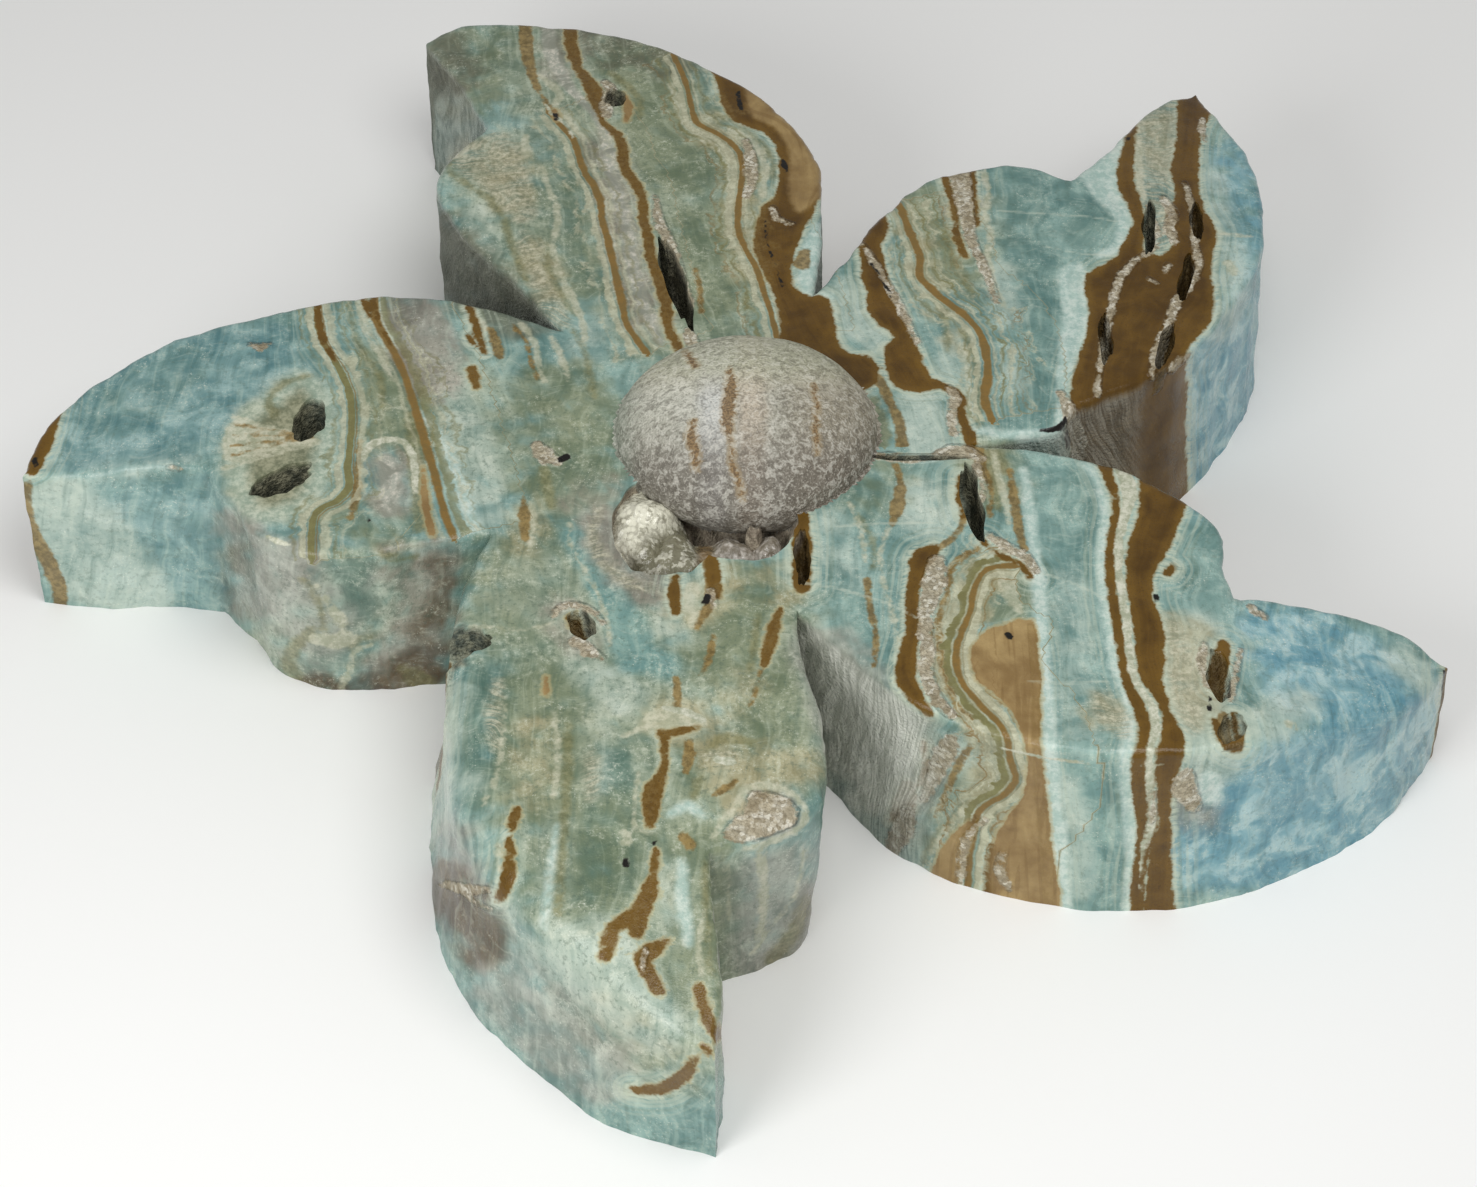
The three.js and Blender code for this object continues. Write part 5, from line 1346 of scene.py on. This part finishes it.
class Shader:
    """Short names for the nodes of one material. Colours are given as 0-255 values."""

    def __init__(self, name):
        self.material = bpy.data.materials.new(name)
        self.material.use_nodes = True
        self.tree = self.material.node_tree
        self.tree.nodes.clear()
        self.surface = self.node("BsdfPrincipled")
        output = self.node("OutputMaterial")
        self.tree.links.new(self.surface.outputs[0], output.inputs[0])
        coordinates = self.node("TexCoord").outputs["Object"]
        self.place = self.scaled(coordinates, (1 / MM,) * 3)

    def node(self, kind, **settings):
        made = self.tree.nodes.new("ShaderNode" + kind)
        for key, value in settings.items():
            setattr(made, key, value)
        return made

    def feed(self, socket, value):
        if isinstance(value, bpy.types.NodeSocket):
            self.tree.links.new(value, socket)
        else:
            socket.default_value = value

    def settle(self, **values):
        """Sets or feeds sockets of the surface, with _ for the spaces in their names."""
        for name, value in values.items():
            self.feed(self.surface.inputs[name.replace("_", " ")], value)

    def number(self, name):
        return self.node("Attribute", attribute_name=name).outputs["Fac"]

    def vector(self, name):
        return self.node("Attribute", attribute_name=name).outputs["Vector"]

    def axes(self, vector):
        made = self.node("SeparateXYZ")
        self.feed(made.inputs[0], vector)
        return made.outputs[:3]

    def maths(self, operation, *values):
        made = self.node("Math", operation=operation)
        for socket, value in zip(made.inputs, values):
            self.feed(socket, value)
        return made.outputs[0]

    def times(self, *values):
        result = values[0]
        for value in values[1:]:
            result = self.maths("MULTIPLY", result, value)
        return result

    def line(self, value, slope, start):
        """value * slope + start, each a number or a socket."""
        return self.maths("MULTIPLY_ADD", value, slope, start)

    def scaled(self, vector, factors):
        made = self.node("VectorMath", operation="MULTIPLY")
        self.feed(made.inputs[0], vector)
        made.inputs[1].default_value = factors
        return made.outputs[0]

    def shifted(self, vector, other):
        made = self.node("VectorMath", operation="ADD")
        self.feed(made.inputs[0], vector)
        self.feed(made.inputs[1], other)
        return made.outputs[0]

    def steps(self, value, low, high, to_low=0.0, to_high=1.0):
        made = self.node("MapRange", interpolation_type="SMOOTHSTEP")
        for socket, item in zip(made.inputs, (value, low, high, to_low, to_high)):
            self.feed(socket, item)
        return made.outputs[0]

    def mix(self, share, below, above):
        """A blend of two colours, each 0-255 values or a socket."""
        made = self.node("Mix", data_type="RGBA")
        self.feed(made.inputs[0], share)
        for socket, colour in zip(made.inputs[6:8], (below, above)):
            self.feed(socket, linear(*colour) if isinstance(colour, tuple) else colour)
        return made.outputs[2]

    def lay(self, colour, amount, dark, light, blend):
        return self.mix(amount, colour, self.mix(blend, dark, light))

    def noise(self, vector, detail=3.0, roughness=0.55):
        made = self.node("TexNoise")
        self.feed(made.inputs["Vector"], vector)
        made.inputs["Scale"].default_value = 1.0
        made.inputs["Detail"].default_value = detail
        made.inputs["Roughness"].default_value = roughness
        return made.outputs["Fac"]

    def grain(self, scale, detail=3.0, roughness=0.55, bend=None):
        """Noise over the object, scale being how many times it changes in a millimetre."""
        vector = self.scaled(self.place, (scale,) * 3)
        return self.noise(vector if bend is None else self.shifted(vector, bend), detail, roughness)

    def warp(self, scale):
        """A noise's colour about zero, to bend other patterns with."""
        made = self.node("TexNoise")
        self.feed(made.inputs["Vector"], self.scaled(self.place, (scale,) * 3))
        made.inputs["Scale"].default_value = 1.0
        made.inputs["Detail"].default_value = 1.0
        return self.shifted(made.outputs["Color"], (-0.5, -0.5, -0.5))

    def cells(self, scale):
        """How far each point is from the middle of its cell, and one colour for each cell."""
        made = self.node("TexVoronoi")
        self.feed(made.inputs["Vector"], self.scaled(self.place, (scale,) * 3))
        made.inputs["Scale"].default_value = 1.0
        return made.outputs["Distance"], made.outputs["Color"]

    def ramp(self, value, stops):
        """The colour and the strength that stops of (place, colour, strength) give along value."""
        made = self.node("ValToRGB")
        made.color_ramp.interpolation = "EASE"
        elements = made.color_ramp.elements
        elements.remove(elements[1])
        for turn, (place, colour, strength) in enumerate(stops):
            element = elements[0] if turn == 0 else elements.new(place)
            element.position = place
            element.color = (*linear(*colour)[:3], strength)
        self.feed(made.inputs[0], value)
        return made.outputs

    def bump(self, height, distance):
        made = self.node("Bump")
        made.inputs["Strength"].default_value = 1.0
        made.inputs["Distance"].default_value = distance * MM
        self.feed(made.inputs["Height"], height)
        self.tree.links.new(made.outputs[0], self.surface.inputs["Normal"])


# Colours of the stone: of each zone where it is dark and where it is light, and its full strength.
TEAL_DARK = (108, 142, 138)
TEAL_LIGHT = (172, 198, 190)
ZONE_COLOURS = [
    ("celadon", (128, 142, 120), (188, 194, 172), 0.92),
    ("sea", (98, 138, 142), (162, 190, 186), 0.9),
    ("stream", (116, 154, 152), (166, 194, 184), 0.9),
    ("blue", (106, 156, 172), (166, 203, 208), 0.92),
    ("deep", (100, 134, 130), (140, 166, 156), 0.75),
    ("strip", (92, 120, 108), (134, 156, 140), 0.8),
    ("pale", (174, 192, 182), (216, 224, 212), 0.8),
    ("green", (118, 130, 104), (162, 168, 140), 0.8),
    ("mauve", (142, 132, 120), (184, 178, 166), 0.8),
    ("warm", (164, 154, 120), (208, 202, 172), 0.75),
    ("dull", (100, 102, 84), (130, 130, 110), 0.8),
    ("rust", (84, 67, 42), (122, 104, 74), 0.95),
    ("ash", (150, 152, 142), (196, 198, 188), 0.8),
]
LANE_COLOURS = {"gold": (148, 122, 70), "cream": (206, 206, 182), "olive": (142, 140, 98)}
LANE_REACH = 8
LANE_BLUR = 0.2             # how far a layer fades past its half width
LANE_FLAT = (0.34, 0.15)    # half width from which a layer has a flat middle, and its inset


def lane_stops(layers):
    """Ramp stops of the fine layers beside a line: nothing, full strength in the middle, nothing."""
    stops = []
    widest, inset = LANE_FLAT
    for kind, centre, half, strength in sorted(layers, key=lambda layer: layer[1]):
        places = [(centre - half - LANE_BLUR, 0), (centre, strength), (centre + half + LANE_BLUR, 0)]
        if half > widest:
            places[1:2] = [(centre - half + inset, strength), (centre + half - inset, strength)]
        for place, share in places:
            place = (place + LANE_REACH) / (2 * LANE_REACH)
            if stops and place <= stops[-1][0] + 0.002:
                stops[-1] = ((stops[-1][0] + place) / 2, LANE_COLOURS[kind], 0)
            else:
                stops.append((place, LANE_COLOURS[kind], share))
    return stops


def stone_material():
    s = Shader("banded_stone")
    steps, times, line, lay, mix = s.steps, s.times, s.line, s.lay, s.mix
    sheet = s.vector("sheet")
    _, along_sheet, _ = s.axes(sheet)
    wobble, fine_wobble = s.grain(0.7, 2), s.grain(2.6, 2)
    warp = s.warp(0.16)
    vein = s.grain(0.3, 3, 0.62, s.scaled(warp, (3, 3, 3)))
    slow = s.grain(0.16, 2, 0.5, s.scaled(warp, (1.2, 1.2, 1.2)))
    middle, crumb, grain = s.grain(0.5, 3, 0.6), s.grain(1.5, 3, 0.7), s.grain(4.5, 2)
    bent = s.shifted(sheet, s.scaled(warp, (3, 8, 0)))
    streak = s.noise(s.scaled(bent, (1.15, 0.06, 0.06)), 3, 0.6)
    fan = s.noise(s.scaled(bent, (0.3, 2.3, 0.7)), 2, 0.6)
    edge = line(wobble, 0.7, line(fine_wobble, 0.3, -0.5))

    def mask(name, soft=0.12, ragged=1.0, grow=0.0):
        """1 inside a kind of mark, with an edge this soft and ragged, grown by this many mm."""
        return steps(line(edge, ragged, s.number(name)), grow + soft, grow - soft)

    mottle = steps(line(middle, 0.5, times(crumb, 0.5)), 0.4, 0.62)
    soft_tone = line(vein, 0.4, line(middle, 0.35, times(streak, 0.35)))
    tone = line(steps(slow, 0.38, 0.64), 0.45, times(steps(soft_tone, 0.42, 0.72), 0.55))
    colour = mix(tone, TEAL_DARK, TEAL_LIGHT)
    for name, dark, light, _ in ZONE_COLOURS:
        colour = lay(colour, s.number("zone_" + name), dark, light, tone)
    on_celadon = steps(s.number("zone_celadon"), 0.2, 0.6)

    # pale veins in the blue, layers along the sheets, crystal grains, and painted glints
    marble = steps(line(slow, 0.6, times(vein, 0.4)), 0.47, 0.6)
    blue = s.maths("ADD", s.number("zone_blue"), times(s.number("zone_sea"), 0.5))
    rough_grains = line(on_celadon, 0.16, 0.24)
    for amount, paint in (
        (steps(times(marble, blue, 0.64), 0, 1), (196, 217, 216)),
        (steps(streak, 0.52, 0.72, 0, 0.2), (204, 214, 198)),
        (steps(streak, 0.46, 0.3, 0, 0.2), (104, 128, 116)),
        (times(steps(crumb, 0.5, 0.68), steps(vein, 0.42, 0.6), rough_grains), (218, 222, 206)),
        (times(steps(crumb, 0.48, 0.34), rough_grains), (98, 116, 102)),
        # painted highlight: tiny near-white glints standing for sparkle on the polish
        (times(steps(grain, 0.62, 0.7), steps(vein, 0.46, 0.6), 0.5), (236, 238, 226)),
        (times(steps(fan, 0.5, 0.72), steps(middle, 0.42, 0.6), 0.2), (214, 220, 206)),
    ):
        colour = mix(amount, colour, paint)

    # layers that follow the edge of the brown, and its pale fringe of teeth
    rim = s.node("CombineXYZ")
    s.feed(rim.inputs[0], times(s.number("brown"), 1.5))
    s.feed(rim.inputs[1], times(along_sheet, 0.06))
    layers = s.noise(rim.outputs[0], 1)
    near_brown = s.maths("SUBTRACT", steps(s.number("brown"), 4.5, 0.8), on_celadon)
    near_brown = s.maths("MAXIMUM", near_brown, 0.0)
    toothed = times(steps(fan, 0.34, 0.56, 0.2, 0.85), line(on_celadon, -0.7, 1.0))
    for amount, paint in (
        (times(near_brown, steps(layers, 0.5, 0.62), 0.4), (200, 208, 190)),
        (times(near_brown, steps(layers, 0.48, 0.36), 0.25), (128, 136, 104)),
        (times(mask("brown", 0.4, 1.2, 0.7), toothed), (202, 210, 192)),
        (times(mask("brown", 0.15, 2.4, 0.3), on_celadon, 0.6), (196, 192, 158)),
    ):
        colour = mix(amount, colour, paint)

    # drawn marks
    halo_depth = line(edge, 1.6, s.number("halo"))
    crumbs = line(steps(crumb, 0.42, 0.6), 0.6, steps(fan, 0.34, 0.66, 0, 0.4))
    comb = times(mask("comb", 0.7, 1.6), steps(fan, 0.36, 0.62, 0.3, 0.9), 0.8)
    chalk_light = steps(crumb, 0.44, 0.62)
    chalk = lay((156, 158, 146), steps(vein, 0.42, 0.6), (184, 186, 174), (216, 212, 200), chalk_light)
    colour = lay(colour, times(mask("pale", 0.5), 0.75), (186, 208, 200), (222, 232, 224), mottle)
    colour = lay(colour, times(steps(halo_depth, 1.6, -0.6), 0.8), (166, 180, 162), (208, 214, 196), mottle)
    colour = lay(colour, times(steps(halo_depth, -1, -3.2), 0.8), (118, 118, 90), (164, 162, 134), mottle)
    colour = lay(colour, comb, (140, 140, 116), (212, 208, 186), crumbs)
    colour = mix(times(mask("chalk", 0.4), 0.85), colour, chalk)
    colour = lay(colour, times(mask("olive", 0.45, 1.6), 0.6), (120, 118, 78), (154, 150, 110), mottle)
    colour = lay(colour, times(mask("cream", 0.25, 1.4), 0.7), (184, 186, 162), (216, 214, 194), mottle)
    colour = lay(colour, times(mask("gold", 0.2, 1.2), 0.85), (124, 102, 54), (164, 140, 88), mottle)

    # fine layers beside the lines
    spread = line(vein, -1.4, 1.7)
    for name, (_, layers_beside) in LANES.items():
        outer = steps(s.maths("ABSOLUTE", s.number(name)), 0.5, 2.2)
        drift = line(s.number(name), spread, times(edge, 0.4))
        drift = line(times(outer, s.maths("SUBTRACT", middle, 0.5)), 1.6, drift)
        paint, strength = s.ramp(line(drift, 1 / (2 * LANE_REACH), 0.5), lane_stops(layers_beside))
        broken = line(outer, steps(vein, 0.42, 0.56, -0.6, 0), 1.0)
        shaded = mix(steps(mottle, 1, 0, 0, 0.3), paint, (112, 104, 70))
        colour = mix(times(strength, broken), colour, shaded)

    # fawn and brown bands
    fawn = mix(tone, (148, 124, 84), (186, 164, 120))
    fawn = mix(times(steps(layers, 0.54, 0.64), 0.3), fawn, (128, 102, 60))
    colour = mix(times(mask("fawn", 0.2, 1.4, 0.3), 0.6), colour, (186, 174, 134))
    colour = mix(mask("fawn", 0.12), colour, fawn)
    colour = mix(times(mask("brown", 0.2, 1, 0.15), 0.6), colour, (142, 120, 74))
    inside = line(edge, 1.5, s.number("brown"))
    brown = mix(tone, (94, 70, 18), (126, 98, 38))
    brown = mix(steps(inside, -1.2, -0.2, 0, 0.4), brown, (138, 110, 48))
    brown = mix(times(on_celadon, steps(crumb, 0.4, 0.6, 0.1, 0.7)), brown, (136, 114, 68))
    brown = mix(steps(grain, 0.6, 0.68, 0, 0.4), brown, (78, 58, 20))
    brown = mix(times(mask("fawn", 0.5), 0.85), brown, fawn)
    colour = mix(mask("brown", 0.12, 1.4), colour, brown)
    # pale marks; along the crease of petal C and the top edge of E's lobe they are painted highlights
    colour = lay(colour, mask("bright", 0.15), (176, 180, 158), (218, 218, 202), mottle)

    # sugary crystal spots, cracks and hairlines
    gaps, lit = s.cells(2.3)
    sugar_light = steps(middle, 0.44, 0.58)
    sugar = lay((168, 158, 136), steps(lit, 0.15, 0.8), (196, 187, 165), (224, 220, 206), sugar_light)
    sugar = mix(times(steps(vein, 0.46, 0.38), 0.5), sugar, (144, 128, 98))
    sugar = mix(steps(gaps, 0.55, 0.85, 0, 0.35), sugar, (124, 112, 90))
    colour = mix(times(mask("druse", 0.18, 1.8), 0.92), colour, sugar)
    colour = mix(mask("crack", 0.1, 0.8), colour, (30, 26, 20))
    colour = mix(times(mask("hair", 0.14, 0.3), 0.4), colour, (212, 218, 202))

    # ground walls, and the insides of the slots in grey with painted shade
    brush = s.noise(s.scaled(s.shifted(sheet, s.scaled(warp, (1.5, 0, 0))), (2.6, 0.2, 0.05)), 2, 0.65)
    lines = steps(brush, 0.36, 0.64)
    matte, inner, ash = s.number("matte"), s.number("inner"), s.number("zone_ash")
    grey = mix(lines, (126, 124, 115), (186, 186, 177))
    # painted shade: the dull zone darkens the ground walls of petal A
    grey = lay(grey, s.number("zone_dull"), (84, 83, 70), (110, 108, 95), lines)
    # painted light: in the ash zone the ground walls turn near white and take more of the grey
    grey = lay(grey, ash, (206, 209, 198), (248, 249, 240), lines)
    colour = mix(times(matte, line(ash, 0.3, 0.55)), colour, grey)
    stained = times(steps(s.number("brown"), 0.9, 0.2), 0.55)
    # the rough insides of the slots and vugs: grey, darkened with painted shade, less where a brown mark runs
    # in
    slot_grey_and_shade = times(inner, s.maths("SUBTRACT", 0.85, stained))
    colour = lay(colour, slot_grey_and_shade, (62, 64, 56), (146, 144, 124), mottle)
    hollow = times(s.number("bowl"), steps(middle, 0.3, 0.5, 0.6, 0.95))
    colour = lay(colour, hollow, (142, 130, 116), (190, 180, 162), mottle)
    deeper = s.node("Gamma")
    s.feed(deeper.inputs[0], colour)
    deeper.inputs[1].default_value = 1.22

    coarse = s.maths("ADD", s.maths("ADD", matte, inner), steps(s.number("druse"), 0.3, -0.1))
    s.settle(
        Base_Color=deeper.outputs[0],
        Specular_IOR_Level=0.35,
        Roughness=s.maths("MAXIMUM", line(middle, 0.2, 0.14), times(coarse, 0.6)),
    )
    s.bump(line(times(coarse, fine_wobble), 2.0, times(grain, 0.25)), 0.2)
    return s.material


def dome_material():
    s = Shader("ground_dome")
    steps, times = s.steps, s.times
    x, y, _ = s.axes(s.vector("dome_plan"))
    worms = s.grain(1.1, 3, 0.6, s.scaled(s.warp(0.9), (2.4,) * 3))
    dust, middle = s.grain(4, 2), s.grain(0.3, 4)
    bent_x = s.line(middle, 2.4, s.maths("SUBTRACT", x, 1.2))
    stain = s.line(worms, 1.6, s.maths("ADD", s.number("stain"), -0.8))
    colour = s.mix(steps(middle, 0.36, 0.64), (170, 170, 156), (202, 202, 188))
    for amount, paint in (
        (times(steps(bent_x, -0.8, 0.8), steps(bent_x, 4.4, 2), 0.55), (196, 176, 152)),
        (times(steps(bent_x, -5.4, -3.4), steps(bent_x, -0.6, -2.2), 0.8), (204, 206, 202)),
        (steps(bent_x, -6, -9, 0, 0.5), (192, 192, 176)),
        # painted shade: darker and browner towards the right side of the dome
        (steps(x, 1.5, 9, 0, 0.55), (122, 104, 72)),
        # painted shade: darker towards the front, where the dome curves under
        (steps(y, 6, -6, 0, 0.78), (98, 90, 80)),
        # painted light: lighter round the top of the dome
        (steps(y, 6, 12, 0, 0.65), (200, 196, 170)),
        (steps(bent_x, -10, -15, 0, 0.55), (142, 158, 142)),
        (steps(y, 8, 13, 0, 0.4), (160, 168, 140)),
        (steps(worms, 0.5, 0.62, 0, 0.32), (238, 236, 224)),
        (steps(worms, 0.49, 0.38, 0, 0.42), (78, 72, 62)),
        (steps(dust, 0.54, 0.64, 0, 0.3), (222, 216, 204)),
        (steps(dust, 0.46, 0.36, 0, 0.35), (112, 104, 92)),
        (steps(stain, 0.6, 0.05, 0, 0.5), (170, 150, 114)),
    ):
        colour = s.mix(amount, colour, paint)
    crack = steps(stain, 0.15, -0.15, 0, 0.85)
    colour = s.lay(colour, crack, (96, 72, 40), (142, 114, 74), steps(dust, 0.4, 0.6))
    s.settle(Base_Color=colour, Roughness=steps(dust, 0.3, 0.7, 0.55, 0.8))
    s.bump(s.line(dust, 0.6, worms), 0.3)
    return s.material


def crystal_material():
    s = Shader("crystals")
    steps, times = s.steps, s.times
    x, y, _ = s.axes(s.place)
    grain = s.grain(0.8, 4, 0.6)
    spot, _ = s.cells(1.7)
    # painted shade: the lumps turn from cream to dark olive-grey towards the right and front
    across = s.line(grain, 6, s.maths("SUBTRACT", x, times(y, 0.8)))
    colour = s.mix(steps(across, 3.6, 5.8), (226, 224, 204), (124, 121, 99))
    colour = s.mix(steps(grain, 0.52, 0.6, 0, 0.6), colour, (228, 226, 208))
    colour = s.mix(steps(grain, 0.46, 0.38, 0, 0.6), colour, (120, 116, 94))
    lilac = times(steps(x, -3.4, -2.2), 0.75)
    colour = s.lay(colour, lilac, (128, 118, 106), (198, 190, 182), steps(grain, 0.4, 0.6))
    between = times(steps(x, -5, -4), steps(x, -2.4, -3.2), 0.75)
    colour = s.mix(between, colour, (128, 100, 62))
    colour = s.mix(steps(spot, 0.5, 0.8, 0, 0.4), colour, (104, 98, 80))
    s.settle(Base_Color=colour, Roughness=0.18, Coat_Weight=0.4, Coat_Roughness=0.1)
    s.bump(s.line(spot, 0.35, grain), 0.25)
    return s.material


# ---- the crust of crystals ----
FACET = 0.8                 # width of one facet
FACET_TOP = 0.55            # share of the way to its middle at which a facet is flat
FACET_RISE = 0.3
LUMP_SWELL, LUMP_PITCH, LUMP_SEED = 0.4, 4, 71      # unevenness of each lump
LUMP_SINK = 0.1
GRAIN_SEED = 8
LUMP_GROWTH = 1.16          # of every lump but the largest, which fills its bowl as it is


def faceted(points, centres):
    """How far each point stands up, as flat-topped grains round the nearest centre."""
    near = nearest_tree(centres)
    gaps = np.array([[hit[2] for hit in near.find_n(p, 2)] for p in points])
    return np.clip((gaps[:, 1] - gaps[:, 0]) / FACET, 0, FACET_TOP)


def crust_object():
    rng = np.random.default_rng(GRAIN_SEED)
    made = None
    for number, (centre, radii) in enumerate(CRUST_LUMPS):
        points, faces = unit_ball(5)
        radii = np.array(radii)
        grains = rng.normal(size=(round(4 * math.pi * radii.mean() ** 2 / FACET ** 2), 3))
        grains = grains / np.linalg.norm(grains, axis=1)[:, None] * radii
        placed = points * (radii * (1 if number == 0 else LUMP_GROWTH))
        swell = LUMP_SWELL * ripple(placed, LUMP_PITCH, LUMP_SEED + number)
        rise = FACET_RISE * faceted(placed, grains) + swell - LUMP_SINK
        lump = mesh_object("crystal_grains", placed + points * rise[:, None] + centre, faces)
        if made is None:
            made = lump
        else:
            cut(made, lump, "UNION")
    return made


# ---- the floor, the light and the camera ----
CAMERA_PLACE = (0.067, -320.58, 342.12)
CAMERA_TILT = 43            # degrees from straight down
SENSOR_WIDTH = 36
PHOTO_FOCAL, PHOTO_WIDTH = 4000, 1477       # in pixels
FLOOR_REACH = 900
SKY_STRENGTH = 0.42


def soft_light(name, place, target, size, watts):
    lamp = bpy.data.lights.new(name, "AREA")
    lamp.shape = "DISK"
    lamp.size = size * MM
    lamp.energy = watts
    made = bpy.data.objects.new(name, lamp)
    made.location = Vector(place) * MM
    made.rotation_euler = (Vector(target) - Vector(place)).to_track_quat("-Z", "Y").to_euler()
    bpy.context.scene.collection.objects.link(made)


def plain_material(name, colour, roughness):
    s = Shader(name)
    s.settle(Base_Color=linear(*colour), Roughness=roughness)
    return s.material


def add_camera():
    view = bpy.data.cameras.new("camera")
    view.lens = SENSOR_WIDTH * PHOTO_FOCAL / PHOTO_WIDTH
    view.sensor_width = SENSOR_WIDTH
    view.sensor_fit = "HORIZONTAL"
    view.clip_start = 0.01
    camera = bpy.data.objects.new("camera", view)
    camera.location = Vector(CAMERA_PLACE) * MM
    camera.rotation_euler = (math.radians(CAMERA_TILT), 0, 0)
    bpy.context.scene.collection.objects.link(camera)
    bpy.context.scene.camera = camera


def set_materials(made, *materials):
    made.data.materials.clear()
    for material in materials:
        made.data.materials.append(material)


def build_scene(outline, flower):
    describe_stone(flower, outline)
    set_materials(flower, stone_material(), dome_material())
    mark_dome(flower, 1)
    flower.data.shade_smooth()
    flower.data.set_sharp_from_angle(angle=math.radians(SHARP_ANGLE))
    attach(flower, "root")
    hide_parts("flower")

    crust = crust_object()
    set_materials(crust, crystal_material())
    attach(crust, "root")
    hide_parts("crystal_crust")

    corners = [(-1, -1), (1, -1), (1, 1), (-1, 1)]
    floor = mesh_object("floor", [(x * FLOOR_REACH, y * FLOOR_REACH, 0) for x, y in corners], [(0, 1, 2, 3)])
    floor.data.materials.append(plain_material("pale_floor", (246, 246, 244), 0.8))

    soft_light("key", (-180, -270, 220), (0, -20, 0), 180, 0.55)
    soft_light("overhead", (70, -120, 320), (10, -20, 0), 200, 0.45)
    world = bpy.data.worlds.new("pale_world")
    world.use_nodes = True
    sky = world.node_tree.nodes["Background"].inputs
    sky["Color"].default_value = (1, 1, 1, 1)
    sky["Strength"].default_value = SKY_STRENGTH
    bpy.context.scene.world = world
    add_camera()
    bpy.context.scene.view_settings.view_transform = "Standard"


carved = carved_outline()
build_scene(carved, carve_flower(carved))
bpy.context.view_layer.update()
